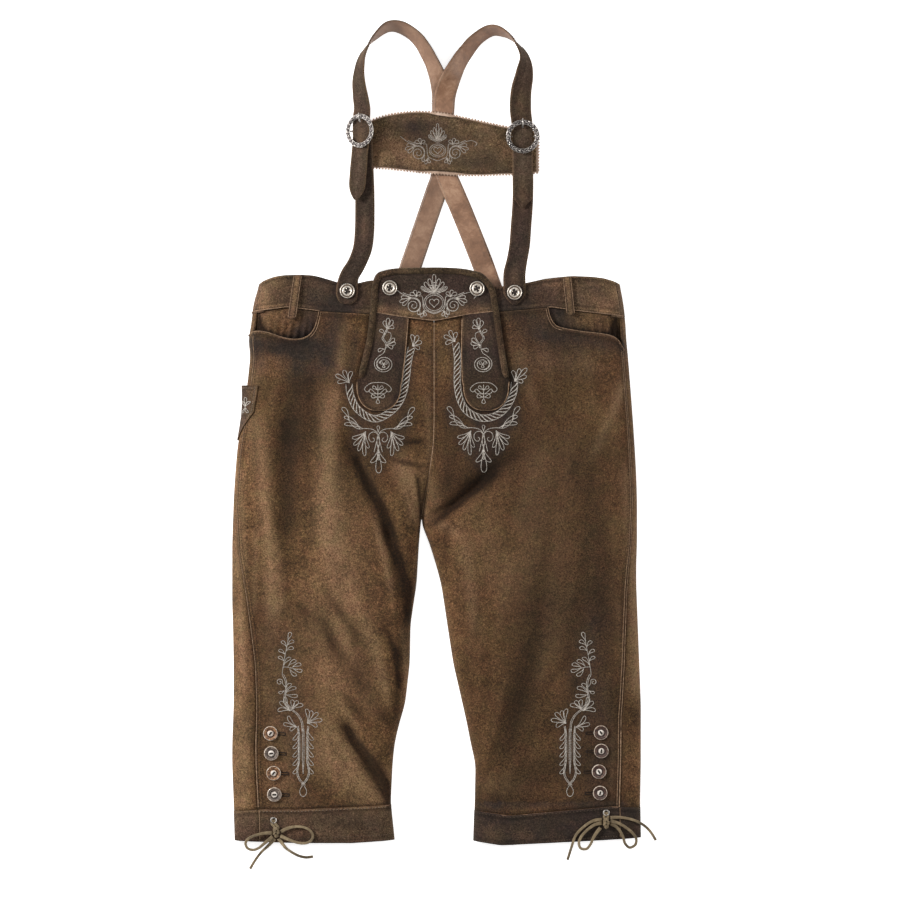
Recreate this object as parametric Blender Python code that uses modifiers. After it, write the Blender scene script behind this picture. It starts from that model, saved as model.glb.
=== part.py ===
"""Knee-length leather lederhosen with braces, laid on their back on a flat surface.

Frame: metres, +Z up, +Y from the hems towards the braces, +X to the viewer's right.
The origin is on the surface, under the middle of the garment. Tables are in millimetres.
Run with: blender --background --python part.py
"""

import math
from collections import namedtuple

import bmesh
import bpy
import numpy as np
from mathutils import Matrix, Vector

MM = 0.001
LEFT, RIGHT = -1, 1
UP = Vector((0, 0, 1))

# Driving sizes, in millimetres.
LEATHER = 1.6          # wall of the leg panels
BAND_LEATHER = 2.0     # wall of the waistband and the knee bands, which are folded double
STRAP_LEATHER = 2.2    # suede and its smooth backing, sewn together
SEAM_GAP = 0.3         # between pieces that are sewn edge to edge
SEAM_CLOSE = 0.006     # share of a panel's width next to a seam, kept square to it
SEAM_EDGE = 1.4        # the same, as a length, for what wraps round the folds
LAYER_GAP = 0.5        # between pieces that lie on each other
FOLD_HEIGHT = 5.5      # height of the side folds' outermost line above the surface
CROWN_WIDTH = 30.0     # how far in from a side fold the upper panel reaches its full height
WAISTBAND_LIFT = 0.5   # how far the waistband stands out from the panels
KNEEBAND_LIFT = 0.8
APPLIED_LIFT = WAISTBAND_LIFT + LAYER_GAP + LEATHER   # outer face of what lies on the waistband
STRAP_WIDTH = 28.0
FRONT_STRAP_WIDTH = 25.5
BUTTON_WIDTH = 20.5
KNEE_BUTTON_WIDTH = 19.0
LACE_WIDTH = 3.2

# The trousers' outline seen from above, and the height of the upper panel between its folds.
Section = namedtuple("Section", "y left_outer left_inner right_inner right_outer loft")
SECTIONS = (
    Section(240, -225, -3.3, -3.3, 232, 24),
    Section(194, -232, -3.3, -3.3, 240, 26),
    Section(168, -240, -3.3, -3.3, 245, 27),
    Section(141, -243, -3.3, -3.3, 248, 28),
    Section(120, -247, -3.3, -3.3, 249, 29),
    Section(101, -244, -3.3, -3.3, 251, 29),
    Section(63, -248, -3.3, -3.3, 254, 30),
    Section(10, -256, -3.3, -3.3, 258, 30),
    Section(-20, -261, -4.5, -4.5, 260, 30),
    Section(-56, -264, -10, -10, 262, 30),
    Section(-89, -266, -16, -16, 263, 29),
    Section(-118, -267, -20.5, -20.5, 263, 28),
    Section(-147, -268, -23, -9, 263, 28),
    Section(-173, -268, -24.5, -1, 262, 28),
    Section(-199, -268, -26, 6, 262, 28),
    Section(-225, -268, -30, 10, 263, 28),
    Section(-252, -267, -34, 14, 264, 27),
    Section(-304, -266, -35, 22, 266, 26),
    Section(-356, -266, -41, 34, 268, 25),
    Section(-383, -267, -49, 40, 268, 24),
    Section(-409, -268, -55, 45, 268, 24),
    Section(-435, -268, -57.5, 51, 268, 23),
    Section(-487, -266, -60, 50, 267, 21),
    Section(-545, -264, -54, 48, 268, 19),
)
SMOOTHING = (-9, -4.5, 0, 4.5, 9)   # the outline is averaged over these offsets in y

LEVELS = tuple(80 - 29 * i for i in range(20))   # heights in y of the leg panels' rows

CROTCH = -118     # where the two legs part
SEAT_END = -22    # above this the front and the back lie flat at the centre seams

# How far in from the outer fold the side seam shows, seen from above.
SideSeam = namedtuple("SideSeam", "y left right")
SIDE_SEAMS = (
    SideSeam(240, 6, 6),
    SideSeam(-100, 5, 6.5),
    SideSeam(-160, 10, 9),
    SideSeam(-220, 20, 14),
    SideSeam(-304, 29, 20),
    SideSeam(-370, 31, 26),
    SideSeam(-545, 33, 28),
)

# Edges across the garment: height in y over x.
Edge = namedtuple("Edge", "x y")
WAIST_SEAM = (
    Edge(-260, 156), Edge(-241, 157), Edge(-195, 163), Edge(-155, 158), Edge(-87, 154),
    Edge(0, 152), Edge(80, 157), Edge(149, 163), Edge(185, 158), Edge(245, 151), Edge(260, 150),
)
WAIST_TOP = (
    Edge(-260, 190), Edge(-233, 196), Edge(-211, 204), Edge(-179, 207), Edge(-146, 199),
    Edge(-126, 191), Edge(-100, 189), Edge(0, 188), Edge(84, 190), Edge(116, 195),
    Edge(142, 202), Edge(175, 205), Edge(214, 202), Edge(240, 195), Edge(260, 188),
)
LEFT_POCKET = (
    Edge(-262, 118), Edge(-247, 126), Edge(-238, 131), Edge(-223, 130), Edge(-197, 122),
    Edge(-180, 121), Edge(-168, 125), Edge(-160, 134), Edge(-156, 146), Edge(-153.5, 158),
)
RIGHT_POCKET = (
    Edge(145.5, 163), Edge(148, 152), Edge(153, 142), Edge(162, 136), Edge(189, 131),
    Edge(221, 127), Edge(236, 121), Edge(246, 106), Edge(262, 96),
)
LEFT_KNEE_SEAM = (Edge(-270, -497), Edge(-234, -494), Edge(-180, -494), Edge(-55, -488))
RIGHT_KNEE_SEAM = (
    Edge(45, -495), Edge(96, -502), Edge(162, -496), Edge(230, -490), Edge(270, -492),
)
LEFT_HEM = (Edge(-270, -535), Edge(-180, -538), Edge(-110, -538), Edge(-50, -534))
RIGHT_HEM = (Edge(45, -535), Edge(85, -541), Edge(185, -536), Edge(270, -531))
BACK_DROP = 4.0   # the back waistband's edge lies this much lower than the front one's

# The largest folds of the upper panels: a ridge is up, a trough is down.
Fold = namedtuple("Fold", "x_from y_from x_to y_to half_width height")
FOLDS = (
    Fold(-122, -8, -62, -135, 12, -6.5),      # from the left embroidery to the inseam
    Fold(-64, -130, -38, -235, 11, -5.0),
    Fold(-116, -392, -66, -474, 10, -7.0),    # left knee, down to the inner edge
    Fold(-185, -232, -122, -372, 13, -3.5),
    Fold(-18, -106, 48, -70, 9, -6.0),        # from the crotch to the right
    Fold(44, -72, 102, -24, 10, -5.5),
    Fold(138, -250, 94, -400, 17, -4.0),
    Fold(-193, 6, -196, -124, 15, -4.0),
    Fold(-134, 84, -142, -170, 17, 4.0),
    Fold(-222, -8, -212, -222, 13, 3.5),
    Fold(-128, -262, -86, -352, 15, 4.0),
    Fold(142, -46, 122, -170, 22, 4.0),
    Fold(232, 50, 208, -34, 9, 3.0),
    Fold(33, -150, 52, -275, 15, 3.5),
)

# The drop-front flap: its sides, top edge, and the seam under its top band.
FLAP_SIDES = (
    # y, left edge, right edge
    (215, -82, 70), (198, -83, 72), (165, -84.5, 79.5), (122, -89.5, 85.5),
    (83, -98.5, 91.5), (66, -103.5, 96),
)
FLAP_TOP = (
    Edge(-84, 193), Edge(-81, 201), Edge(-76, 206), Edge(-69, 209.5), Edge(-55, 212.5),
    Edge(-22, 213.5), Edge(0, 214), Edge(32, 212.5), Edge(54, 208), Edge(64, 202.5),
    Edge(70, 195), Edge(73, 188),
)
FLAP_SEAM = (Edge(-90, 158), Edge(-48, 151), Edge(-13, 146.5), Edge(-3, 145.5), Edge(12, 148),
             Edge(42, 154), Edge(90, 159))
WELT_WIDTH = 6.0
FLAP_END = 70.0   # where the flap's side openings end
# The tongues at the flap's sides run on below it: y, outer and inner edge of each.
TONGUE_SIDES = (
    (160, -84, -36, 34, 79), (122, -89, -39, 33, 85), (96, -95, -41.5, 33, 89),
    (67, -103.5, -45, 34, 95), (52, -104, -49, 37.5, 93), (41, -99.5, -53, 42, 87.5),
    (33, -91, -61, 50, 79), (28.5, -83, -69.5, 58, 71.5),
)

Station = namedtuple("Station", "x y z roll width")
ON_FRONT = None   # the station's height follows the front of the garment
RESTING = 0       # the strap's lower edge lies on the surface
# The braces. roll 0 lies flat with the smooth side up, 180 with the suede side up, and between
# them the strap stands on its inner edge, or on its outer edge past 90.
LEFT_STRAP = (
    Station(-50, 170, 3.8, 0, 28), Station(-42, 194, 3.8, 0, 28),
    Station(-34, 217, RESTING, 0, 28), Station(-20, 258, RESTING, 0, 28),
    Station(-2, 311, RESTING, 0, 28), Station(7, 338, RESTING, 0, 28),
    Station(8, 366, RESTING, 0, 28), Station(8, 400, RESTING, 0, 28),
    Station(8, 430, RESTING, 2, 28), Station(7.5, 446, RESTING, 8, 28),
    Station(5, 458, RESTING, 25, 28), Station(0, 470, RESTING, 42, 28),
    Station(-9, 490, RESTING, 52, 28), Station(-24, 514, RESTING, 57, 28),
    Station(-44, 529, RESTING, 60, 28), Station(-63, 531, RESTING, 66, 28),
    Station(-80, 518, RESTING, 80, 28), Station(-92, 503, 15, 98, 28),
    Station(-99.5, 484, 14.6, 113, 28), Station(-102, 462, 14, 124, 28),
    Station(-100, 442, 14, 133, 28), Station(-97.5, 424, 16, 141, 27.5),
    Station(-98.5, 409, 16.6, 145, 27), Station(-98.5, 394, 20.3, 145, 27),
    Station(-99, 379, 16.8, 146, 26), Station(-100.5, 364, 16, 152, 24),
    Station(-102.5, 340, 14.6, 163, 23), Station(-104, 322, 13.2, 168, 21.5),
    Station(-105, 312, 12.6, 170, 15), Station(-105.5, 304, 12.2, 170, 5),
)
RIGHT_STRAP = (
    Station(79, 170, 3.8, 0, 28), Station(70, 194, 3.8, 0, 28),
    Station(62, 217, RESTING, 0, 28), Station(46, 258, RESTING, 0, 28),
    Station(33, 290, 2.2, 0, 28), Station(24, 311, 3.7, 0, 28),
    Station(12, 340, 3.7, 0, 28), Station(8.5, 366, 3.7, 0, 28),
    Station(8.5, 400, 3.7, 0, 28), Station(9.5, 422, 3.9, 0, 28),
    Station(11, 440, 7, 6, 28), Station(15.5, 456, 14.5, 16, 28),
    Station(22.5, 471, 18.5, 34, 28), Station(34, 491, 14.5, 46, 28),
    Station(51, 513, RESTING, 55, 28), Station(72, 526, RESTING, 63, 28),
    Station(91, 521, RESTING, 78, 28), Station(106.5, 507, 14.6, 98, 28),
    Station(115.5, 489, 13.5, 120, 28), Station(115, 468, 11.6, 146, 28),
    Station(111, 447, 10, 163, 28), Station(110, 424, 9, 174, 28),
    Station(112, 404, 8.3, 180, 27.5), Station(113, 387, 11.4, 180, 27.5),
    Station(113, 369, 8.3, 180, 27.5), Station(113, 350, 8.5, 180, 27),
    Station(113, 326, 8.1, 180, 26.5), Station(113, 308, 7.6, 180, 25),
    Station(112.5, 299.5, 7.4, 180, 13), Station(112.5, 294, 7.3, 180, 3),
)
LEFT_FRONT_STRAP = (
    Station(-94.5, 391, 13.8, 145, 25), Station(-94.5, 376, 12.6, 148, 25.5),
    Station(-94.8, 358, 11.2, 154, 25.5), Station(-94.3, 332, 8.2, 164, 25.5),
    Station(-94, 306, 5.6, 172, 25.5), Station(-94, 285, 4.4, 180, 25.5),
    Station(-94.5, 262, 8, 180, 25.5), Station(-97, 240, 14, 180, 25),
    Station(-104.5, 220, 21, 180, 24), Station(-113.5, 204, ON_FRONT, 180, 25),
    Station(-116.5, 190, ON_FRONT, 180, 28), Station(-117, 178, ON_FRONT, 180, 28),
    Station(-118, 171, ON_FRONT, 180, 22), Station(-118.5, 167, ON_FRONT, 180, 12),
)
RIGHT_FRONT_STRAP = (
    Station(113, 386, 5.5, 180, 26), Station(113, 360, 5.7, 180, 27),
    Station(113.5, 330, 5.0, 180, 27), Station(113, 300, 3.6, 180, 27),
    Station(111, 272, 4.6, 180, 27), Station(109, 246, 12, 180, 27),
    Station(105.5, 225, 20, 180, 27), Station(102, 207, ON_FRONT, 180, 29),
    Station(102, 190, ON_FRONT, 180, 30), Station(102, 176, ON_FRONT, 180, 29),
    Station(102, 170, ON_FRONT, 180, 17), Station(102, 166, ON_FRONT, 180, 6),
)

# The bar across the chest: its upper and lower edge and the height of its underside.
BarSection = namedtuple("BarSection", "x top bottom z")
CHEST_BAR = (
    BarSection(-101, 402, 351, 1.6), BarSection(-91, 404, 349.5, 4.4),
    BarSection(-82, 408, 348.5, 8.2), BarSection(-65, 413.5, 347, 9.6),
    BarSection(-39, 418, 344.5, 7.2), BarSection(-14, 418.5, 341.5, 5.6),
    BarSection(10, 416, 340, 5.5), BarSection(30, 412, 338.5, 5.0), BarSection(66, 404, 338.5, 3.0),
    BarSection(92, 398.5, 340, 1.0), BarSection(115, 395, 341, 0.5), BarSection(134, 391, 342.5, 0.5),
)
BAR_LEATHER = 1.3
BAR_GAP = 0.35
TOOTH_WIDTH = 4.0     # the pinked edge of the bar's smooth backing
TOOTH_DEPTH = 2.4
PINKED_MARGIN = 3.2   # how far the backing shows past the suede

# Round ornamental buckles: the middle of the strap inside, and how far it leans.
Buckle = namedtuple("Buckle", "name x y z lean")
BUCKLES = (Buckle("buckle_left", -98.5, 394, 20.3, -35), Buckle("buckle_right", 113, 387, 11.4, 0))
BUCKLE_RADIUS = 19.0
BUCKLE_WIRE = 2.9
BUCKLE_LEAVES = 12
BUCKLE_RISE = 3.4      # the ring's middle over the strap's middle
BRIDGE_WIRE = 1.1      # the bar that the strap passes over
BRIDGE_DROP = 2.55
BRIDGE_REACH = 15.4

Button = namedtuple("Button", "name x y width lift")
ON_FLAP = APPLIED_LIFT + LAYER_GAP
ON_STRAP = WAISTBAND_LIFT + 2 * LAYER_GAP + STRAP_LEATHER
BUTTONS = (
    Button("flap_button_left", -61, 188, BUTTON_WIDTH, ON_FLAP),
    Button("flap_button_right", 53, 187, BUTTON_WIDTH, ON_FLAP),
    Button("strap_button_left", -116.5, 184, BUTTON_WIDTH, ON_STRAP + 0.3),
    Button("strap_button_right", 102, 182, BUTTON_WIDTH, ON_STRAP + 0.3),
    Button("knee_button_left_1", -217, -394, KNEE_BUTTON_WIDTH, LAYER_GAP),
    Button("knee_button_left_2", -216, -420, KNEE_BUTTON_WIDTH, LAYER_GAP),
    Button("knee_button_left_3", -213, -446, KNEE_BUTTON_WIDTH, LAYER_GAP),
    Button("knee_button_left_4", -212, -474, KNEE_BUTTON_WIDTH, LAYER_GAP),
    Button("knee_button_right_1", 215, -393, KNEE_BUTTON_WIDTH, LAYER_GAP),
    Button("knee_button_right_2", 215.5, -417, KNEE_BUTTON_WIDTH, LAYER_GAP),
    Button("knee_button_right_3", 212.5, -444, KNEE_BUTTON_WIDTH, LAYER_GAP),
    Button("knee_button_right_4", 214, -472, KNEE_BUTTON_WIDTH, LAYER_GAP),
)
BACK_BUTTON_WIDTH = 17.0

Loop = namedtuple("Loop", "name x_top y_top x_bottom y_bottom")
BELT_LOOPS = (Loop("belt_loop_left", -181, 206, -189, 148), Loop("belt_loop_right", 170, 206, 175.5, 153))
BELT_LOOP_WIDTH = 10.0

# The knife pocket on the left outer fold: along the fold, over it and down its outer side.
KNIFE_POCKET_TOP, KNIFE_POCKET_TIP = 61.0, -11.0
KNIFE_POCKET_STRAIGHT = 26.0    # below this its front edge runs in to the tip
KNIFE_POCKET_REACH = 32.0       # how far it comes onto the front, round the fold
KNIFE_POCKET_BULGE = 7.0

# The laces in the knee bands: eyelet, knot, and the route of each strand.
Bow = namedtuple("Bow", "name eyelet knot strands")
KNOT_SIZE = (8.5, 15.0, 6.4)
BOWS = (
    Bow("left", (-213, -508), (-209.5, -523), {
        "loop_outer": ((-214.2, -524.6, 24.2), (-224, -524.5, 25.4), (-236, -527, 25.6), (-246, -532, 24),
                       (-250, -540, 21.5), (-244, -546.5, 20.5), (-234, -545, 22.5), (-224, -537, 26),
                       (-214.3, -529, 24.6)),
        "loop_inner": ((-204, -523, 24), (-194, -518, 24.2), (-181, -516, 23.8), (-168, -519, 23.4),
                       (-161.5, -527.5, 23), (-166, -536, 22), (-177, -538, 22), (-191, -534, 23.6),
                       (-204, -528, 24.2)),
        "end_outer": ((-211.5, -532, 22.6), (-216, -537, 22.2), (-222, -543, 19.5), (-230, -551, 12),
                      (-238, -562, 5), (-244.5, -573, 1.8)),
        "end_inner": ((-206.5, -531.5, 22.8), (-201, -539, 22.2), (-194, -547, 16), (-184, -554, 8),
                      (-173, -558, 2.6), (-162, -557, 1.8)),
    }),
    Bow("right", (222, -498), (222, -511), {
        "loop_outer": ((227.5, -512, 23), (236, -517, 22.8), (243, -527, 22.2), (246.5, -538, 20.4),
                       (253.5, -544, 18), (261, -539, 17.5), (260.5, -530, 19.5), (252, -520.5, 22.4),
                       (240, -512.5, 24), (227.5, -508.5, 24)),
        "loop_inner": ((216.5, -511.5, 23.6), (207, -513.5, 23.6), (196.5, -521, 23.4), (188, -531.5, 22.8),
                       (186.5, -542, 21), (194, -546.5, 20), (201, -540, 21.5), (206.5, -528, 23.6),
                       (214.5, -517.5, 23.6)),
        "end_outer": ((227.5, -504.5, 22.8), (238, -504, 22.6), (250, -505.5, 21.8), (261, -509, 19.6),
                      (270, -514, 14), (278, -521, 6.5), (284, -529, 2.2), (287.5, -535, 1.8)),
        "end_inner": ((216.5, -507, 22.8), (205, -508.5, 22.6), (193, -516, 22.6), (182.5, -527, 22.4),
                      (177.5, -540, 19), (174.5, -552, 9), (172, -561, 2.2)),
    }),
)
EYELET_RADIUS = 3.4
EYELET_WIRE = 0.9
LACE_STEP = 2.6 * LACE_WIDTH

# Colours, roughness and metallic value of each material.
Finish = namedtuple("Finish", "colour roughness metallic")
FINISHES = {
    "suede": Finish((0.135, 0.085, 0.045, 1), 0.95, 0.0),
    "dark_suede": Finish((0.075, 0.052, 0.036, 1), 0.95, 0.0),
    "smooth_leather": Finish((0.42, 0.26, 0.18, 1), 0.6, 0.0),
    "lace_leather": Finish((0.27, 0.20, 0.12, 1), 0.85, 0.0),
    "antique_metal": Finish((0.45, 0.44, 0.42, 1), 0.35, 1.0),
    "horn": Finish((0.30, 0.20, 0.14, 1), 0.35, 0.0),
}


# ---------------------------------------------------------------- shape of the garment

def interpolate(table, key, column):
    """The column's value at key, linear between the rows of a table sorted by its first column."""
    rows = sorted(table, key=lambda row: row[0])
    return float(np.interp(key, [row[0] for row in rows], [row[column] for row in rows]))


def edge_y(edge, x):
    """Height in y of an edge over x, with its corners rounded."""
    return sum(interpolate(edge, x + offset, 1) for offset in (-3, 0, 3)) / 3


def outline(y, column):
    return sum(interpolate(SECTIONS, y + offset, column) for offset in SMOOTHING) / len(SMOOTHING)


def legs_apart(y):
    """0 where front and back are joined across at the centre seams, 1 where each leg is closed."""
    share = min(max((SEAT_END - y) / (SEAT_END - CROTCH), 0.0), 1.0)
    return share * share * (3 - 2 * share)


def rise(share):
    """A quarter circle: 0 at a fold, 1 from share 1 on."""
    share = min(max(share, 0.0), 1.0)
    return math.sqrt(1 - (1 - share) ** 2)


def fold_height(x, y):
    """How much the folds raise or lower the upper panel."""
    total = 0.0
    for fold in FOLDS:
        along_x, along_y = fold.x_to - fold.x_from, fold.y_to - fold.y_from
        length = math.hypot(along_x, along_y)
        along = ((x - fold.x_from) * along_x + (y - fold.y_from) * along_y) / length
        across = ((x - fold.x_from) * along_y - (y - fold.y_from) * along_x) / length
        beyond = max(-along, along - length, 0.0)
        reach = (across / fold.half_width) ** 2 + (beyond / (2 * fold.half_width)) ** 2
        total += fold.height * math.exp(-reach)
    return total


class Half:
    """One half of the trousers at a height y: its folds' places and the contour round it."""

    def __init__(self, side, y):
        self.side, self.y = side, y
        self.outer = outline(y, 1 if side == LEFT else 4)
        self.inner = outline(y, 2 if side == LEFT else 3) + side * SEAM_GAP / 2
        self.loft = outline(y, 5)
        self.apart = legs_apart(y)
        self.width = abs(self.inner - self.outer)
        quarter_gain = math.pi / 2 - 1
        self.top_length = self.width + CROWN_WIDTH * quarter_gain * (1 + self.apart)
        self.bottom_length = self.width + FOLD_HEIGHT * quarter_gain * (1 + self.apart)

    def top_height(self, x):
        from_outer, from_inner = abs(x - self.outer), abs(self.inner - x)
        if (x - self.outer) * self.side > 0:
            from_outer = 0.0
        crown = rise(from_outer / CROWN_WIDTH)
        crown *= 1 - self.apart * (1 - rise(from_inner / CROWN_WIDTH))
        return FOLD_HEIGHT + (self.loft - FOLD_HEIGHT) * crown + fold_height(x, self.y) * crown ** 2

    def bottom_height(self, x):
        from_outer, from_inner = abs(x - self.outer), abs(self.inner - x)
        lifted = 1 - rise(from_outer / FOLD_HEIGHT) + self.apart * (1 - rise(from_inner / FOLD_HEIGHT))
        return FOLD_HEIGHT * lifted

    def inward(self, along, length, radius):
        """Distance in from the outer fold, seen from above, at a distance along the contour."""
        quarter = radius * math.pi / 2
        if along < quarter:
            return radius * (1 - math.cos(along / radius))
        left = length - along
        if left < quarter:
            end = self.apart * radius * (1 - math.cos(max(left, 0.0) / radius))
            return self.width - end - (1 - self.apart) * left
        return radius + along - quarter

    def along_top(self, inward):
        """The distance along the contour at a distance in from the outer fold."""
        if inward < CROWN_WIDTH:
            return CROWN_WIDTH * math.acos(1 - inward / CROWN_WIDTH)
        return CROWN_WIDTH * math.pi / 2 + inward - CROWN_WIDTH

    def point(self, along):
        """A point of the contour: along is 0 at the outer fold, more on top and less underneath."""
        if along >= 0:
            x = self.outer - self.side * self.inward(along, self.top_length, CROWN_WIDTH)
            return Vector((x, self.y, self.top_height(x)))
        x = self.outer - self.side * self.inward(-along, self.bottom_length, FOLD_HEIGHT)
        return Vector((x, self.y, self.bottom_height(x)))


def lifted(point, normal, lift):
    """A point moved out of the cloth, by nothing where the cloth rests on the surface."""
    return point + normal * lift * (1 + normal.z) / 2 if lift > 0 else point + normal * lift


def skin(side, along, y, lift=0.0):
    """A point of the trousers' outer face, moved out by lift."""
    here = Half(side, y)
    step = 1.0
    across = here.point(along + step) - here.point(along - step)
    down = Half(side, y - step).point(along) - Half(side, y + step).point(along)
    normal = across.cross(down).normalized() * side
    return lifted(here.point(along), normal, lift)


def front_height(x, y):
    centre = outline(y, 2)
    return Half(LEFT if x < centre else RIGHT, y).top_height(x)


def on_front(x, y, lift):
    """A point over the front, seen from above at (x, y), moved out of the cloth by lift."""
    step = 2.0
    slope_x = (front_height(x + step, y) - front_height(x - step, y)) / (2 * step)
    slope_y = (front_height(x, y + step) - front_height(x, y - step)) / (2 * step)
    normal = Vector((-slope_x, -slope_y, 1)).normalized()
    return Vector((x, y, front_height(x, y))) + normal * lift


def side_seam(side, y):
    """Where the side seam runs, as a distance along the contour."""
    inward = interpolate(SIDE_SEAMS, y, 1 if side == LEFT else 2)
    return Half(side, y).along_top(inward)


def smooth_path(points, samples):
    """Catmull-Rom curve through points, as arrays of numbers."""
    points = np.array(points, float)
    ends = np.vstack([2 * points[0] - points[1], points, 2 * points[-1] - points[-2]])
    path = []
    for i in range(len(points) - 1):
        p0, p1, p2, p3 = ends[i:i + 4]
        for t in np.arange(samples) / samples:
            path.append(0.5 * (2 * p1 + (p2 - p0) * t + (2 * p0 - 5 * p1 + 4 * p2 - p3) * t ** 2
                               + (3 * p1 - p0 - 3 * p2 + p3) * t ** 3))
    path.append(points[-1])
    return np.array(path)


# ---------------------------------------------------------------- making objects

def clear_scene():
    for obj in list(bpy.data.objects):
        bpy.data.objects.remove(obj)


def material(name):
    found = bpy.data.materials.get(name)
    if found:
        return found
    made = bpy.data.materials.new(name)
    made.use_nodes = True
    shader = made.node_tree.nodes["Principled BSDF"]
    finish = FINISHES[name]
    shader.inputs["Base Color"].default_value = finish.colour
    shader.inputs["Roughness"].default_value = finish.roughness
    shader.inputs["Metallic"].default_value = finish.metallic
    made.diffuse_color = finish.colour
    return made


def new_object(name, mesh, finish):
    obj = bpy.data.objects.new(name, mesh)
    bpy.data.collections["lederhosen"].objects.link(obj)
    mesh.materials.append(material(finish))
    return obj


def cloth(name, rows, wall, finish, flip=False, offset=-1.0):
    """A closed wall on a grid of points in millimetres, thickened away from its outer face."""
    mesh = bpy.data.meshes.new(name)
    bm = bmesh.new()
    grid = [[bm.verts.new(Vector(point) * MM) for point in row] for row in rows]
    for upper, lower in zip(grid, grid[1:]):
        for j in range(len(upper) - 1):
            corners = (upper[j], lower[j], lower[j + 1], upper[j + 1])
            bm.faces.new(reversed(corners) if flip else corners)
    bm.to_mesh(mesh)
    bm.free()
    obj = new_object(name, mesh, finish)
    solidify = obj.modifiers.new("wall", "SOLIDIFY")
    solidify.thickness = wall * MM
    solidify.offset = offset
    solidify.use_even_offset = True
    for polygon in mesh.polygons:
        polygon.use_smooth = True
    return obj


def shares(count, crowding=0.0, close=0.0):
    """Shares from 0 to 1, drawn towards both ends by crowding, with one more close to each end."""
    even = np.linspace(0, 1, count)
    drawn = even - crowding * np.sin(2 * np.pi * even) / (2 * np.pi)
    return np.concatenate([drawn[:1], [close], drawn[1:-1], [1 - close], drawn[-1:]]) if close else drawn


def ribbon_frame(path, i):
    """(middle, across) of a strap at one of its samples."""
    along = Vector(path[min(i + 1, len(path) - 1)][:3]) - Vector(path[max(i - 1, 0)][:3])
    along.normalize()
    outward = along.cross(UP).normalized()
    roll = math.radians(path[i][3])
    across = outward * math.cos(roll) + outward.cross(along).normalized() * math.sin(roll) * -1
    return Vector(path[i][:3]), across


def strap(name, stations, mirrored, finish, samples=2):
    """A strap through its stations. mirrored turns its roll the other way."""
    rows = []
    for s in stations:
        z = s.z
        if z is ON_FRONT:
            z = on_front(s.x, s.y, WAISTBAND_LIFT + LAYER_GAP + 0.3 + STRAP_LEATHER / 2).z
        rows.append((s.x, s.y, z, -s.roll if mirrored else s.roll, s.width))
    path = smooth_path(rows, samples)
    for row in path:
        roll = math.radians(row[3])
        resting = row[4] / 2 * abs(math.sin(roll)) + STRAP_LEATHER / 2 * abs(math.cos(roll))
        row[2] = max(row[2], resting + 0.02)
    grid = []
    for i in range(len(path)):
        middle, across = ribbon_frame(path, i)
        half = across * path[i][4] / 2
        grid.append([middle - half, middle, middle + half])
    return cloth(name, grid, STRAP_LEATHER, finish, offset=0.0)


def turned(name, profile, finish, steps, place, normal):
    """A turned shape: profile is (radius, height) from the outside in over the top, then back."""
    mesh = bpy.data.meshes.new(name)
    bm = bmesh.new()
    points = [bm.verts.new((radius * MM, 0, height * MM)) for radius, height in profile]
    for first, second in zip(points, points[1:]):
        bm.edges.new((first, second))
    bm.to_mesh(mesh)
    bm.free()
    obj = new_object(name, mesh, finish)
    screw = obj.modifiers.new("turn", "SCREW")
    screw.axis = "Z"
    screw.steps = screw.render_steps = steps
    screw.use_merge_vertices = True
    screw.merge_threshold = 0.00001
    screw.use_normal_calculate = True
    obj.matrix_world = Matrix.Translation(Vector(place) * MM) @ normal.to_track_quat("Z", "Y").to_matrix().to_4x4()
    return obj


def tube(name, points, width, finish, resolution=2):
    """A round cord along points in millimetres, with flat ends."""
    curve = bpy.data.curves.new(name, "CURVE")
    curve.dimensions = "3D"
    curve.bevel_depth = width / 2 * MM
    curve.bevel_resolution = resolution
    curve.use_fill_caps = True
    spline = curve.splines.new("POLY")
    spline.points.add(len(points) - 1)
    for target, point in zip(spline.points, points):
        target.co = (*(Vector(point) * MM), 1)
    obj = bpy.data.objects.new(name, curve)
    bpy.data.collections["lederhosen"].objects.link(obj)
    curve.materials.append(material(finish))
    return obj


# ---------------------------------------------------------------- trousers

def front_columns(side, shares_in):
    """Columns of the upper panels, from the side seam to the centre or the inner seam."""
    def columns(y):
        start = side_seam(side, y) + SEAM_GAP / 2
        return start + (Half(side, y).top_length - SEAM_GAP - start) * shares_in
    return columns


def back_columns(side, seam_gap=SEAM_GAP):
    """Columns of what wraps round the outer fold: close together round both folds."""
    def columns(y):
        seam, fold = side_seam(side, y) - SEAM_GAP / 2, FOLD_HEIGHT * math.pi / 2
        far = Half(side, y).bottom_length - seam_gap
        return np.array((
            seam, seam - SEAM_EDGE, seam * 0.66, seam * 0.33, 0, -fold * 0.35, -fold * 0.7, -fold * 1.05,
            -far / 2, fold * 1.05 - far, fold * 0.7 - far, fold * 0.35 - far, SEAM_EDGE - far, -far))
    return columns


def edge_points(side, columns, edge):
    """Where each column meets an edge: its y, found from the column's own x."""
    found = []
    for j in range(len(columns(0))):
        y = edge(0)
        for _ in range(4):
            y = edge(Half(side, y).point(columns(y)[j]).x)
        found.append(y)
    return found


def panel_lines(side, columns, rows, top, bottom, lift):
    """The panel's columns, each a list of points from its top edge to its bottom edge."""
    lines = []
    edges = zip(edge_points(side, columns, top), edge_points(side, columns, bottom))
    for j, (y_top, y_bottom) in enumerate(edges):
        lines.append([skin(side, columns(y)[j], y, lift) for y in rows(y_top, y_bottom)])
    return lines


def panel(name, side, columns, rows, top, bottom, wall, finish, flip, lift=0.0):
    """A panel of the trousers: columns(y) runs round it, rows(top, bottom) runs down it."""
    lines = panel_lines(side, columns, rows, top, bottom, lift)
    return cloth(name, list(zip(*lines)), wall, finish, flip)


def even_rows(count):
    return lambda top, bottom: [top + (bottom - top) * t for t in shares(count)]


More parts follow.
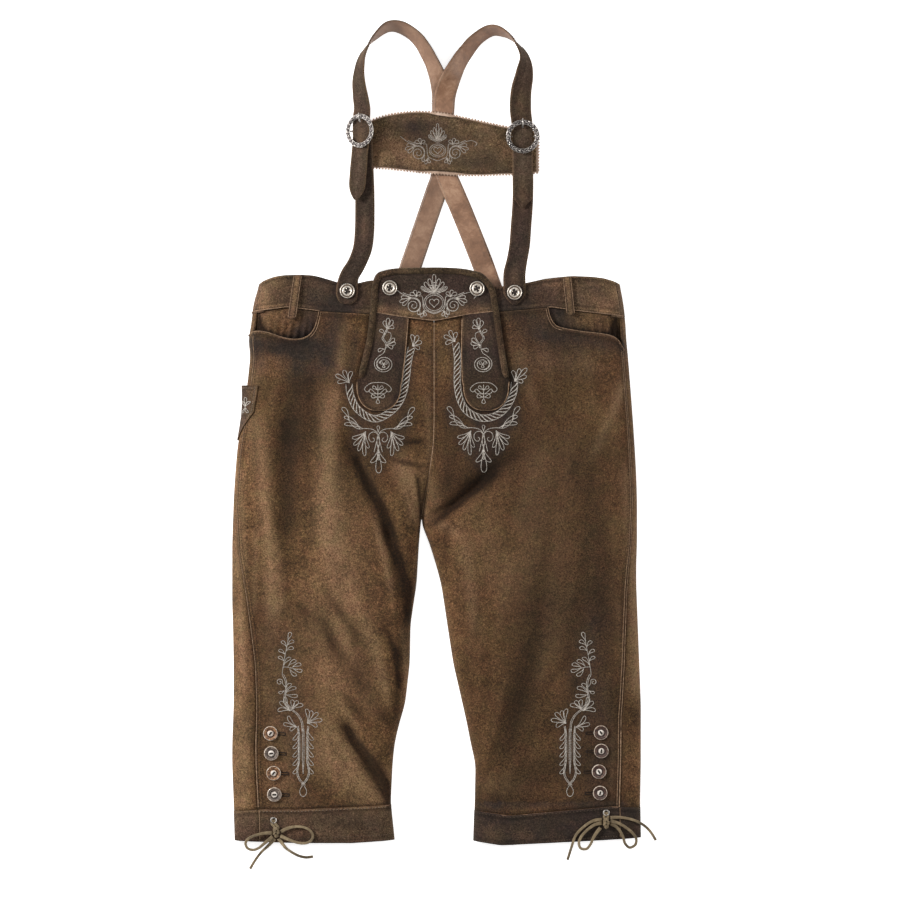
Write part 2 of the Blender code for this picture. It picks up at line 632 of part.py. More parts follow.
def leg_rows(top, bottom):
    """Rows that the front and the back panel share, so that their seams match."""
    return [top, top * 0.6 + LEVELS[0] * 0.4, *LEVELS, bottom]


def back_rows(side):
    """The back panel's rows: the front's, under one more row at the waist seam."""
    rim = (LEFT_POCKET if side == LEFT else RIGHT_POCKET)
    rim_y = interpolate(rim, Half(side, 118).point(side_seam(side, 118)).x, 1)
    return lambda top, bottom: [top, *leg_rows(rim_y, bottom)]


def sides():
    return ((LEFT, "left"), (RIGHT, "right"))


def front_top(side, x):
    """The top edge of a front panel: the waist seam, or the pocket's rim."""
    seam = edge_y(WAIST_SEAM, x) - 2 * SEAM_GAP
    if side == LEFT:
        return min(seam, interpolate(LEFT_POCKET, x, 1)) if x < LEFT_POCKET[-1].x else seam
    return min(seam, interpolate(RIGHT_POCKET, x, 1)) if x > RIGHT_POCKET[0].x else seam


def knee_seam(side, x):
    return edge_y(LEFT_KNEE_SEAM if side == LEFT else RIGHT_KNEE_SEAM, x)


def hem(side, x):
    return edge_y(LEFT_HEM if side == LEFT else RIGHT_HEM, x)


def make_leg_panels():
    for side, word in sides():
        def leg_end(x, s=side):
            return knee_seam(s, x) + SEAM_GAP / 2
        panel(f"front_{word}", side, front_columns(side, shares(15, 0.4, SEAM_CLOSE)), leg_rows,
              lambda x, s=side: front_top(s, x), leg_end, LEATHER, "suede", flip=side == RIGHT)
        panel(f"back_{word}", side, back_columns(side), back_rows(side),
              lambda x: edge_y(WAIST_SEAM, x) - 2 * SEAM_GAP, leg_end, LEATHER, "suede", flip=side == LEFT)


def make_waistband():
    def back_top(x):
        return edge_y(WAIST_TOP, x) - BACK_DROP

    def seam(x):
        return edge_y(WAIST_SEAM, x)

    for side, word in sides():
        panel(f"waistband_front_{word}", side, front_columns(side, shares(13, 0.4, SEAM_CLOSE)), even_rows(4),
              lambda x: edge_y(WAIST_TOP, x), seam, BAND_LEATHER, "dark_suede", side == RIGHT, WAISTBAND_LIFT)
    left, right = (panel_lines(side, back_columns(side, 0), even_rows(4), back_top, seam, WAISTBAND_LIFT)
                   for side in (LEFT, RIGHT))
    lines = left[:-1] + right[-2::-1]
    cloth("waistband_back", list(zip(*lines)), BAND_LEATHER, "dark_suede", flip=True)


def make_knee_bands():
    """Each band runs all round its leg, from the slit in the side seam back to it."""
    for side, word in sides():
        def top(x, s=side):
            return knee_seam(s, x) - SEAM_GAP / 2

        def bottom(x, s=side):
            return hem(s, x)

        over = panel_lines(side, front_columns(side, shares(12, 0.5, SEAM_CLOSE)), even_rows(4),
                           top, bottom, KNEEBAND_LIFT)
        under = panel_lines(side, back_columns(side, 0), even_rows(4), top, bottom, KNEEBAND_LIFT)
        lines = over + under[-2::-1]
        cloth(f"kneeband_{word}", list(zip(*lines)), BAND_LEATHER, "dark_suede", flip=side == RIGHT)


def make_pocket_facings():
    """The leather seen inside each hip pocket, which hangs from the waist seam behind the rim."""
    depth, below_rim = LEATHER + LAYER_GAP + 0.5, 26.0
    for side, word, inner in ((LEFT, "left", -146), (RIGHT, "right", 138)):
        rim = LEFT_POCKET if side == LEFT else RIGHT_POCKET
        def columns(y, s=side, x=inner):
            start = side_seam(s, y) + 3
            return start + (Half(s, y).along_top(abs(x - Half(s, y).outer)) - start) * shares(12, 0.3)

        panel(f"pocket_facing_{word}", side, columns, even_rows(6),
              lambda x: edge_y(WAIST_SEAM, x) - SEAM_GAP, lambda x, table=rim: interpolate(table, x, 1) - below_rim,
              1.2, "suede", flip=side == RIGHT, lift=-depth)


def make_flap():
    """The top band of the drop front, the tongue at each of its sides and the welt round it."""
    def side_at(y, column):
        return interpolate(FLAP_SIDES, y, column)

    inset = WELT_WIDTH + SEAM_GAP
    grid = []
    for t in shares(7):
        line = []
        for share in shares(15, 0.35):
            x = side_at(180, 1) + inset + (side_at(180, 2) - side_at(180, 1) - 2 * inset) * share
            y_top, y_bottom = edge_y(FLAP_TOP, x) - inset, edge_y(FLAP_SEAM, x)
            y = y_top + (y_bottom - y_top) * t
            left, right = side_at(y, 1) + inset, side_at(y, 2) - inset
            line.append(on_front(left + (right - left) * share, y, APPLIED_LIFT))
        grid.append(line)
    cloth("flap_band", grid, LEATHER, "dark_suede")

    for side, word in sides():
        outer_column, inner_column = (1, 2) if side == LEFT else (4, 3)
        grid = []
        for t in np.sin(shares(15) * math.pi / 2):
            line = []
            for share in shares(6, 0.2):
                y_top = edge_y(FLAP_SEAM, -60 if side == LEFT else 60) - 1
                y = y_top + (TONGUE_SIDES[-1][0] - y_top) * t
                outer = interpolate(TONGUE_SIDES, y, outer_column)
                if y > FLAP_END:
                    outer -= side * inset
                inner = interpolate(TONGUE_SIDES, y, inner_column)
                x = outer + (inner - outer) * share
                if t == 0:
                    y = edge_y(FLAP_SEAM, x) - 1
                line.append(on_front(x, y, APPLIED_LIFT))
            grid.append(line)
        cloth(f"tongue_{word}", grid, LEATHER, "dark_suede", flip=side == RIGHT)
    make_welt()


def welt_route():
    """Middle line of the welt: up the flap's left side, over its top and down its right side."""
    half = WELT_WIDTH / 2
    left = [(interpolate(FLAP_SIDES, y, 1) + half, y) for y in (FLAP_END + 1, 80, 95, 122, 150, 172, 188)]
    over = [(x, edge_y(FLAP_TOP, x) - half) for x in (-76, -68, -52, -22, 5, 32, 50, 60)]
    right = [(interpolate(FLAP_SIDES, y, 2) - half, y) for y in (187, 172, 150, 122, 95, 80, FLAP_END + 1)]
    return smooth_path(left + over + right, 2)


def make_welt():
    route = welt_route()
    grid = []
    for i, (x, y) in enumerate(route):
        ahead, behind = route[min(i + 1, len(route) - 1)], route[max(i - 1, 0)]
        along = Vector((*(ahead - behind), 0)).normalized()
        across = along.cross(UP) * WELT_WIDTH / 2
        line = []
        for share, lift in ((-1, APPLIED_LIFT), (0, APPLIED_LIFT + 1.0), (1, APPLIED_LIFT)):
            line.append(on_front(x + across.x * share, y + across.y * share, lift))
        grid.append(line)
    cloth("flap_welt", grid, LEATHER, "dark_suede")


def make_belt_loops():
    for loop in BELT_LOOPS:
        grid = []
        for t in shares(7):
            x = loop.x_top + (loop.x_bottom - loop.x_top) * t
            y = loop.y_top + (loop.y_bottom - loop.y_top) * t
            lift = APPLIED_LIFT + 1.6 * math.sin(math.pi * t)
            y = min(y, edge_y(WAIST_TOP, x) - 1)
            grid.append([on_front(x + across * BELT_LOOP_WIDTH / 2, y, lift) for across in (-1, 0, 1)])
        cloth(loop.name, grid, LEATHER, "suede")


def make_knife_pocket():
    grid = []
    for t in shares(9):
        y = KNIFE_POCKET_TOP + (KNIFE_POCKET_TIP - KNIFE_POCKET_TOP) * t
        narrow = (y - KNIFE_POCKET_TIP) / (KNIFE_POCKET_STRAIGHT - KNIFE_POCKET_TIP)
        reach = KNIFE_POCKET_REACH * min(1.0, 0.12 + 0.88 * max(narrow, 0.0))
        low = -FOLD_HEIGHT * math.pi / 2 * 0.30
        line = []
        for share in shares(9):
            bulge = KNIFE_POCKET_BULGE * math.sin(math.pi * min(share * 1.15, 1.0)) ** 0.8
            bulge *= max(0.0, 1 - 1.7 * t) ** 1.3
            along = low + (reach - low) * share
            line.append(skin(LEFT, along, y, 0) + pocket_normal(along, y) * (LAYER_GAP + LEATHER + bulge))
        grid.append(line)
    cloth("knife_pocket", grid, LEATHER, "dark_suede")


def pocket_normal(along, y):
    """The outward direction of the left outer fold."""
    base = Half(LEFT, y)
    across = base.point(along + 1) - base.point(along - 1)
    return across.cross(Vector((0, -1, 0))).normalized() * LEFT


# ---------------------------------------------------------------- braces and chest bar

def bar_grid(columns, rows, lift, margin, tooth=0.0):
    """Points of a layer of the chest bar, whose upper and lower edges may be pinked."""
    grid = []
    for t in rows:
        line = []
        for i, x in enumerate(columns):
            def value(column):
                return sum(interpolate(CHEST_BAR, x + offset, column) for offset in (-8, -4, 0, 4, 8)) / 5
            reach = margin + (tooth / 2 if i % 2 else -tooth / 2)
            top, bottom = value(1) + reach, value(2) - reach
            line.append(Vector((x, top + (bottom - top) * t, value(3) + lift)))
        grid.append(line)
    return grid


def make_chest_bar():
    start, end = CHEST_BAR[0].x, CHEST_BAR[-1].x
    teeth = int((end - start) / (TOOTH_WIDTH / 2))
    backing = bar_grid(np.linspace(start, end, teeth), (0, 1), BAR_LEATHER, PINKED_MARGIN, TOOTH_DEPTH)
    cloth("chest_bar_backing", backing, BAR_LEATHER, "smooth_leather")
    panel_grid = bar_grid(np.linspace(start, end - 3, 27), shares(5), 2 * BAR_LEATHER + BAR_GAP, 0)
    cloth("chest_bar_front", panel_grid, BAR_LEATHER, "dark_suede")


def make_braces():
    strap("strap_left", LEFT_STRAP, True, "dark_suede")
    strap("strap_right", RIGHT_STRAP, False, "dark_suede")
    strap("front_strap_left", LEFT_FRONT_STRAP, True, "dark_suede")
    strap("front_strap_right", RIGHT_FRONT_STRAP, False, "dark_suede")


# ---------------------------------------------------------------- buckles, buttons and laces

def leafy_ring(bm):
    """The buckle's ring, a torus whose wire swells into leaves."""
    segments, around = 4 * BUCKLE_LEAVES, 6
    rings = []
    for i in range(segments):
        turn = 2 * math.pi * i / segments
        swell = 1 + 0.16 * math.cos(BUCKLE_LEAVES * turn)
        ring = []
        for j in range(around):
            angle = 2 * math.pi * j / around
            radius = BUCKLE_RADIUS + BUCKLE_WIRE * swell * math.cos(angle) * 1.15
            height = BUCKLE_RISE + BUCKLE_WIRE * swell * math.sin(angle) * 0.85
            ring.append(bm.verts.new(Vector((radius * math.cos(turn), radius * math.sin(turn), height)) * MM))
        rings.append(ring)
    for ring, following in zip(rings, rings[1:] + rings[:1]):
        for j in range(around):
            k = (j + 1) % around
            bm.faces.new((ring[j], following[j], following[k], ring[k]))


def solid_of_tube(name, points, width):
    """A tube as a mesh of its own, welded, for a Boolean."""
    obj = tube(name + "_line", points, width, "antique_metal")
    mesh = bpy.data.meshes.new_from_object(obj.evaluated_get(bpy.context.evaluated_depsgraph_get()))
    bm = bmesh.new()
    bm.from_mesh(mesh)
    bmesh.ops.remove_doubles(bm, verts=bm.verts, dist=0.00001)
    bm.to_mesh(mesh)
    bm.free()
    bpy.data.objects.remove(obj)
    made = bpy.data.objects.new(name, mesh)
    bpy.data.collections["cutters"].objects.link(made)
    made.hide_render = True
    made.display_type = "WIRE"
    return made


def make_buckles():
    for buckle in BUCKLES:
        mesh = bpy.data.meshes.new(buckle.name)
        bm = bmesh.new()
        leafy_ring(bm)
        bm.to_mesh(mesh)
        bm.free()
        obj = new_object(buckle.name, mesh, "antique_metal")
        reach, rim = BRIDGE_REACH, BUCKLE_RADIUS
        bridge = solid_of_tube(buckle.name + "_bridge", (
            (-rim, 0, BUCKLE_RISE - 0.4), (-reach - 1, 0, 0.6), (-reach, 0, -BRIDGE_DROP),
            (reach, 0, -BRIDGE_DROP), (reach + 1, 0, 0.6), (rim, 0, BUCKLE_RISE - 0.4)), 2 * BRIDGE_WIRE)
        prong = solid_of_tube(buckle.name + "_prong", (
            (0, rim - 8.5, BUCKLE_RISE + 0.6), (0, rim - 4, BUCKLE_RISE + 1.6), (0, rim + 1, BUCKLE_RISE + 2.6),
            (0, rim + 4.5, BUCKLE_RISE + 2.2)), 2.4)
        place = Matrix.Translation(Vector((buckle.x, buckle.y, buckle.z)) * MM)
        place @= Matrix.Rotation(math.radians(buckle.lean), 4, "Y")
        for joined in (bridge, prong):
            union = obj.modifiers.new(joined.name, "BOOLEAN")
            union.operation = "UNION"
            union.object = joined
            joined.matrix_world = place
        obj.matrix_world = place


def button_profile(width, thickness=3.4):
    """(radius, height) from the outer rim over the face to the middle, and back underneath."""
    r = width / 2
    return (
        (r * 0.80, 0), (r, thickness * 0.45), (r * 0.88, thickness), (r * 0.66, thickness * 0.72),
        (r * 0.44, thickness * 0.72), (r * 0.36, thickness * 0.95), (0, thickness * 0.85),
    )


def make_buttons():
    for button in BUTTONS:
        place = on_front(button.x, button.y, button.lift)
        normal = on_front(button.x, button.y, button.lift + 1) - place
        profile = button_profile(button.width)
        profile = profile + ((0, 0), profile[0])
        turned(button.name, profile, "horn", 16, place, normal)


def make_back_buttons():
    """The buttons that hold the braces to the inside of the back waistband."""
    for word, station in (("left", LEFT_STRAP[0]), ("right", RIGHT_STRAP[0])):
        z = station.z + STRAP_LEATHER / 2 + LAYER_GAP
        profile = button_profile(BACK_BUTTON_WIDTH, 2.6)
        profile = profile + ((0, 0), profile[0])
        toward = 1 if word == "left" else -1
        turned(f"back_button_{word}", profile, "horn", 12, (station.x + 4 * toward, station.y + 12, z), UP)


def make_laces():
    for bow in BOWS:
        place = on_front(bow.knot[0], bow.knot[1], KNEEBAND_LIFT + LAYER_GAP + KNOT_SIZE[2] / 2)
        name = f"lace_knot_{bow.name}"
        mesh = bpy.data.meshes.new(name)
        bm = bmesh.new()
        bmesh.ops.create_uvsphere(bm, u_segments=12, v_segments=8, radius=MM / 2)
        bmesh.ops.scale(bm, vec=KNOT_SIZE, verts=bm.verts)
        bm.to_mesh(mesh)
        bm.free()
        new_object(name, mesh, "lace_leather").location = place * MM
        for strand, route in bow.strands.items():
            points = [over_band(point) for point in evenly(route, LACE_STEP)]
            tube(f"lace_{bow.name}_{strand}", points, LACE_WIDTH, "lace_leather")
        ring = on_front(bow.eyelet[0], bow.eyelet[1], KNEEBAND_LIFT + LAYER_GAP + EYELET_WIRE)
        turned(f"eyelet_{bow.name}", circle_profile(EYELET_RADIUS, EYELET_WIRE, 6), "antique_metal", 12, ring, UP)


def over_band(point):
    """A lace's point, raised off the knee band where it is over it."""
    side = LEFT if point.x < 0 else RIGHT
    if point.y > hem(side, point.x) - 2.5 * LACE_WIDTH:
        lift = KNEEBAND_LIFT + LAYER_GAP + LACE_WIDTH / 2
        y = max(point.y, hem(side, point.x))
        point.z = max(point.z, on_front(point.x, y, lift).z)
    return point


def circle_profile(radius, wire, sides_round):
    """A round wire's section at a radius, closed, down its outer side first."""
    turns = [-2 * math.pi * i / sides_round for i in range(sides_round + 1)]
    return tuple((radius + wire * math.cos(a), wire * math.sin(a)) for a in turns)


def evenly(route, step):
    """A smooth curve through a route, read again at even distances."""
    fine = smooth_path(route, 16)
    along = np.concatenate([[0], np.cumsum(np.linalg.norm(np.diff(fine, axis=0), axis=1))])
    count = max(2, round(along[-1] / step)) + 1
    at = np.linspace(0, along[-1], count)
    return [Vector(np.interp(t, along, fine[:, k]) for k in range(3)) for t in at]


def main():
    clear_scene()
    for name in ("lederhosen", "cutters"):
        collection = bpy.data.collections.new(name)
        bpy.context.scene.collection.children.link(collection)
    make_leg_panels()
    make_waistband()
    make_knee_bands()
    make_pocket_facings()
    make_flap()
    make_belt_loops()
    make_knife_pocket()
    make_chest_bar()
    make_braces()
    make_buckles()
    make_buttons()
    make_back_buttons()
    make_laces()


main()
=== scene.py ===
"""Looks of the lederhosen: suede, stitching, embroidery, buttons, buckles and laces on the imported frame.

All lengths in the tables are in millimetres, in the part's own frame.
"""
import math

import bpy
import numpy as np
from mathutils import Matrix, Vector


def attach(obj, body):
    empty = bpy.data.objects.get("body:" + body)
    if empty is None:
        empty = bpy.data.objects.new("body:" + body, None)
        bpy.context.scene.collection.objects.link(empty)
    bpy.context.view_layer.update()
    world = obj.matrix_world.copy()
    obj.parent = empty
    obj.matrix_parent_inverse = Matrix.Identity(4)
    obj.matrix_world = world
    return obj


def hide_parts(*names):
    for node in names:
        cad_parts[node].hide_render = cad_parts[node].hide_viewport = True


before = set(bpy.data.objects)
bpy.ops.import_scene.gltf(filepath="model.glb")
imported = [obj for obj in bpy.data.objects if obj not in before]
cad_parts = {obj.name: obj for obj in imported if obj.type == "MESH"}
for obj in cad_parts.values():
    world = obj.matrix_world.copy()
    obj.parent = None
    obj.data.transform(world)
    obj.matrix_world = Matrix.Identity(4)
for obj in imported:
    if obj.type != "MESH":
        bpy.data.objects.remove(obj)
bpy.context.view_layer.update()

MM = 0.001
LEFT, RIGHT = -1, 1
SIDES = ((LEFT, "left"), (RIGHT, "right"))

# ------------------------------------------------------------------ sizes, as in the part
LEATHER, BAND_LEATHER, STRAP_LEATHER = 1.6, 2.0, 2.2
SEAM_GAP = 0.12
LAYER_GAP = 0.5
FOLD_HEIGHT = 5.5
CROWN_WIDTH = 30.0
WAISTBAND_LIFT, KNEEBAND_LIFT = 0.5, 0.8
APPLIED_LIFT = WAISTBAND_LIFT + LAYER_GAP + LEATHER
BUTTON_WIDTH, KNEE_BUTTON_WIDTH = 20.5, 19.0
LACE_WIDTH = 3.2
LACE_STEP = 2.6 * LACE_WIDTH

# y, left outer, left inner, right inner, right outer, loft
SECTIONS = np.array((
    (240, -225, -3.3, -3.3, 232, 24), (194, -232, -3.3, -3.3, 240, 26), (168, -240, -3.3, -3.3, 245, 27),
    (141, -243, -3.3, -3.3, 248, 28), (120, -247, -3.3, -3.3, 249, 29), (101, -244, -3.3, -3.3, 251, 29),
    (63, -248, -3.3, -3.3, 254, 30), (10, -256, -3.3, -3.3, 258, 30), (-20, -261, -4.5, -4.5, 260, 30),
    (-56, -264, -10, -10, 262, 30), (-89, -266, -16, -16, 263, 29), (-118, -267, -20.5, -20.5, 263, 28),
    (-147, -268, -23, -9, 263, 28), (-173, -268, -24.5, -1, 262, 28), (-199, -268, -26, 6, 262, 28),
    (-225, -268, -30, 10, 263, 28), (-252, -267, -34, 14, 264, 27), (-304, -266, -35, 22, 266, 26),
    (-356, -266, -41, 34, 268, 25), (-383, -267, -49, 40, 268, 24), (-409, -268, -55, 45, 268, 24),
    (-435, -268, -57.5, 51, 268, 23), (-487, -266, -60, 50, 267, 21), (-545, -264, -54, 48, 268, 19),
), float)[::-1]
SMOOTHING = (-9, -4.5, 0, 4.5, 9)
CROTCH, SEAT_END = -118, -22
# y, left, right
SIDE_SEAMS = np.array(((240, 6, 6), (-100, 5, 6.5), (-160, 10, 9), (-220, 20, 14), (-304, 29, 20),
                       (-370, 31, 26), (-545, 33, 28)), float)[::-1]
WAIST_SEAM = (
    (-260, 156), (-241, 157), (-195, 163), (-155, 158), (-87, 154), (0, 152), (80, 157), (149, 163),
    (185, 158), (245, 151), (260, 150))
WAIST_TOP = (
    (-260, 188), (-233, 192.5), (-228, 197), (-222, 199.6), (-211, 203.2), (-199.6, 205), (-179, 205.6),
    (-164, 205), (-153.7, 203), (-140, 199), (-126, 194.5), (-104, 194), (-88, 198), (-70, 198), (0, 188),
    (84, 190), (116, 194.5), (141, 200), (165.7, 203), (178, 204), (203, 203), (219, 201), (233, 197),
    (241, 193), (260, 186))
LEFT_POCKET = (
    (-262, 118), (-247, 126), (-238, 131), (-223, 130), (-197, 122), (-180, 121), (-168, 125), (-160, 134),
    (-156, 146), (-153.5, 158))
RIGHT_POCKET = (
    (145.5, 163), (148, 152), (153, 142), (162, 136), (189, 131), (221, 127), (236, 121), (246, 106),
    (262, 96))
LEFT_KNEE_SEAM = ((-270, -497), (-234, -494), (-180, -494), (-55, -488))
RIGHT_KNEE_SEAM = ((45, -495), (96, -502), (162, -496), (230, -490), (270, -492))
LEFT_HEM = ((-270, -535), (-180, -538), (-110, -538), (-50, -534))
RIGHT_HEM = ((45, -535), (85, -541), (185, -536), (270, -531))
BACK_DROP = 4.0

# Folds of the upper panels: x and y of both ends, half width, height.
FOLDS = [
    (-114, -18, -62, -132, 10.5, -6.5), (-62, -130, -37, -238, 10, -5.2), (-116, -392, -66, -474, 10, -7.0),
    (-178, -230, -112, -318, 12, -3.5), (-6, -116, 50, -72, 8.5, -6.2), (46, -74, 98, -36, 12, -4.5),
    (138, -250, 94, -400, 19, -3.2), (-193, 6, -196, -124, 15, -4.0), (-134, 84, -142, -170, 17, 4.0),
    (-222, -8, -212, -222, 13, 3.5), (-128, -262, -86, -352, 15, 4.0), (142, -46, 122, -170, 22, 4.0),
    (232, 50, 208, -34, 9, 3.0), (33, -150, 52, -275, 15, 3.5)]
# Finer creases and unevenness (height, size, seed), which only the visible cloth has.
UNEVENNESS = ((0.75, 46, 3), (0.36, 17, 5), (0.14, 8, 9))
CREASES = [
    (-112, 4, -92, -48, 4, -1.6), (-100, -40, -68, -104, 4, -1.8), (-78, -92, -50, -150, 5, 1.2),
    (-60, -60, -34, -104, 5, -1.5), (-36, -70, -22, -112, 4, -1.6), (-16, -112, 22, -92, 3.5, -1.8),
    (-12, -128, 30, -118, 4, 1.2), (20, -92, 66, -52, 4, -1.2), (0, -150, 22, -122, 4, -1.4),
    (8, -170, 40, -190, 5, -1.2), (-46, -160, -32, -230, 5, -1.4), (-70, -150, -52, -236, 6, 1.4),
    (-60, -262, -48, -330, 5, -2.0), (-76, -276, -62, -352, 6, 1.6), (-142, -262, -124, -300, 6, -1.4),
    (-112, -352, -78, -392, 5, -1.6), (-100, -402, -72, -440, 5, 1.6), (-92, -440, -66, -474, 4, -1.6),
    (-136, -404, -116, -438, 6, -1.4), (-150, -452, -96, -482, 5, -1.2), (-76, -392, -58, -420, 4, -1.2),
    (-228, -250, -190, -300, 8, -1.5), (-238, -300, -214, -350, 7, 1.2), (-232, -92, -222, -170, 5, -1.2),
    (-206, -140, -198, -220, 7, 1.3), (-168, -30, -164, -150, 7, -1.2), (-150, -170, -134, -244, 7, -1.3),
    (-110, -190, -96, -262, 8, 1.2), (-160, 70, -168, -10, 9, -1.2), (-206, 92, -212, 30, 8, 1.2),
    (-232, 96, -226, 42, 6, -1.2), (-146, 140, -136, 96, 6, -1.5), (-128, 140, -122, 70, 6, 1.2),
    (120, 150, 128, 92, 7, -1.3), (140, 138, 152, 60, 7, 1.3), (168, 112, 176, 40, 8, -1.2),
    (196, 110, 204, 40, 7, 1.2), (222, 96, 226, 20, 5, -1.4), (240, 70, 232, -30, 5, 1.2),
    (214, -10, 198, -92, 7, -1.4), (176, -20, 166, -110, 9, 1.3), (110, -60, 92, -140, 8, -1.3),
    (78, -30, 60, -110, 7, -1.0), (150, -150, 138, -230, 9, -1.2), (196, -150, 190, -250, 9, -1.2),
    (232, -120, 236, -230, 7, 1.2), (176, -206, 160, -290, 9, 1.4), (96, -180, 80, -262, 8, 1.2),
    (60, -230, 48, -300, 6, -1.5), (34, -210, 40, -262, 5, -1.2), (70, -300, 60, -372, 6, -1.5),
    (90, -330, 74, -402, 7, 1.4), (128, -390, 112, -450, 7, -1.3), (150, -330, 176, -300, 7, -1.4),
    (164, -342, 186, -318, 6, 1.2), (78, -410, 62, -462, 5, -1.5), (100, -440, 86, -488, 6, 1.2),
    (180, -470, 130, -486, 5, -1.2), (236, -300, 240, -380, 6, -1.0), (222, -330, 228, -420, 7, 1.0)]

FLAP_SIDES = np.array(((215, -82, 70), (198, -83, 72), (165, -84.5, 79.5), (122, -89.5, 85.5),
                       (83, -98.5, 91.5), (66, -103.5, 96)), float)[::-1]
FLAP_TOP = (
    (-84, 193), (-81, 201), (-76, 206), (-69, 209.5), (-55, 212.5), (-22, 213.5), (0, 214), (32, 212.5),
    (54, 208), (64, 202.5), (70, 195), (73, 188))
FLAP_SEAM = (
    (-90, 158), (-48, 151), (-13, 146.5), (-3, 145.5), (12, 148), (42, 154), (90, 159))
WELT_WIDTH, FLAP_END = 6.0, 70.0
# y, left tongue's outer and inner edge, right tongue's inner and outer edge
TONGUE_SIDES = np.array((
    (160, -84, -36, 34, 79), (122, -89, -39, 33, 85), (96, -95, -41.5, 33, 89), (67, -103.5, -45, 34, 95),
    (52, -104, -49, 37.5, 93), (41, -99.5, -53, 42, 87.5), (33, -91, -61, 50, 79),
    (28.5, -83, -69.5, 58, 71.5),
), float)[::-1]

# x, y, z, roll, width; a height of 0 lies on the surface, None on the front of the trousers
LEFT_STRAP = (
    (-50, 170, 3.8, 0, 28), (-42, 194, 3.8, 0, 28), (-34, 217, 0, 0, 28), (-20, 258, 0, 0, 28),
    (-2, 311, 0, 0, 28), (7, 338, 0, 0, 28), (8, 366, 0, 0, 28), (8, 400, 0, 0, 28), (8, 430, 0, 2, 28),
    (7.5, 446, 0, 8, 28), (5, 458, 0, 25, 28), (0, 470, 0, 42, 28), (-9, 490, 0, 52, 28),
    (-24, 514, 0, 57, 28), (-44, 529, 0, 60, 28), (-63, 531, 0, 66, 28), (-80, 518, 0, 80, 28),
    (-92, 503, 15, 98, 28), (-99.5, 484, 14.6, 113, 28), (-102, 462, 14, 124, 28), (-100, 442, 14, 133, 28),
    (-97.5, 424, 16, 141, 27.5), (-98.5, 409, 16.6, 145, 27), (-98.5, 394, 20.3, 145, 27),
    (-99, 379, 16.8, 146, 26), (-100.5, 364, 16, 152, 24), (-102.5, 340, 14.6, 163, 23),
    (-104, 322, 13.2, 168, 21.5), (-105, 312, 12.6, 170, 15), (-105.5, 304, 12.2, 170, 5))
RIGHT_STRAP = (
    (79, 170, 3.8, 0, 28), (70, 194, 3.8, 0, 28), (62, 217, 0, 0, 28), (46, 258, 0, 0, 28),
    (33, 290, 2.2, 0, 28), (24, 311, 3.7, 0, 28), (12, 340, 3.7, 0, 28), (8.5, 366, 3.7, 0, 28),
    (8.5, 400, 3.7, 0, 28), (9.5, 422, 3.9, 0, 28), (11, 440, 7, 6, 28), (15.5, 456, 14.5, 16, 28),
    (22.5, 471, 18.5, 34, 28), (34, 491, 14.5, 46, 28), (51, 513, 0, 55, 28), (72, 526, 0, 63, 28),
    (91, 521, 0, 78, 28), (106.5, 507, 14.6, 98, 28), (115.5, 489, 13.5, 120, 28),
    (115, 468, 11.6, 146, 28), (111, 447, 10, 163, 28), (110, 424, 9, 174, 28), (112, 404, 8.3, 180, 27.5),
    (113, 387, 11.4, 180, 27.5), (113, 369, 8.3, 180, 27.5), (113, 350, 8.5, 180, 27),
    (113, 326, 8.1, 180, 26.5), (113, 308, 7.6, 180, 25), (112.5, 299.5, 7.4, 180, 13),
    (112.5, 294, 7.3, 180, 3))
LEFT_FRONT_STRAP = (
    (-94.5, 391, 13.8, 145, 25), (-94.5, 376, 12.6, 148, 25.5), (-94.8, 358, 11.2, 154, 25.5),
    (-94.3, 332, 8.2, 164, 25.5), (-94, 306, 5.6, 172, 25.5), (-94, 285, 4.4, 180, 25.5),
    (-94.5, 262, 8, 180, 25.5), (-97, 240, 14, 180, 25), (-104.5, 220, 21, 180, 24),
    (-113.5, 204, None, 180, 25), (-116.5, 190, None, 180, 28), (-117, 178, None, 180, 28),
    (-118, 171, None, 180, 22), (-118.5, 167, None, 180, 12))
RIGHT_FRONT_STRAP = (
    (113, 386, 5.5, 180, 26), (113, 360, 5.7, 180, 27), (113.5, 330, 5.0, 180, 27),
    (113, 300, 3.6, 180, 27), (111, 272, 4.6, 180, 27), (109, 246, 12, 180, 27), (105.5, 225, 20, 180, 27),
    (102, 207, None, 180, 29), (102, 190, None, 180, 30), (102, 176, None, 180, 29),
    (102, 170, None, 180, 17), (102, 166, None, 180, 6))

# x, top, bottom, height of the underside
CHEST_BAR = np.array((
    (-101, 402, 351, 1.6), (-91, 404, 349.5, 4.4), (-82, 408, 348.5, 8.2), (-65, 413.5, 347, 9.6),
    (-39, 418, 344.5, 7.2), (-14, 418.5, 341.5, 5.6), (10, 416, 340, 5.5), (30, 412, 338.5, 5.0),
    (66, 404, 338.5, 3.0), (92, 398.5, 340, 1.0), (115, 395, 341, 0.5), (134, 391, 342.5, 0.5)), float)
BAR_LEATHER, BAR_GAP = 1.3, 0.35
TOOTH_WIDTH, TOOTH_DEPTH, PINKED_MARGIN = 4.0, 2.9, 3.2

BUCKLES = (("left", -98.5, 394, 20.3, -35), ("right", 113, 387, 11.4, 0))
BUCKLE_RADIUS, BUCKLE_RISE = 19.0, 3.4
BRIDGE_WIRE, BRIDGE_DROP, BRIDGE_REACH = 1.1, 2.55, 15.4
# From the ring outwards, and over it.
PRONG = ((-7, -1.2), (-5, 0.8), (-1.5, 2.5), (1.5, 2.5), (4.2, 1.6))

ON_FLAP = APPLIED_LIFT + LAYER_GAP
ON_STRAP = WAISTBAND_LIFT + 2 * LAYER_GAP + STRAP_LEATHER + 0.3
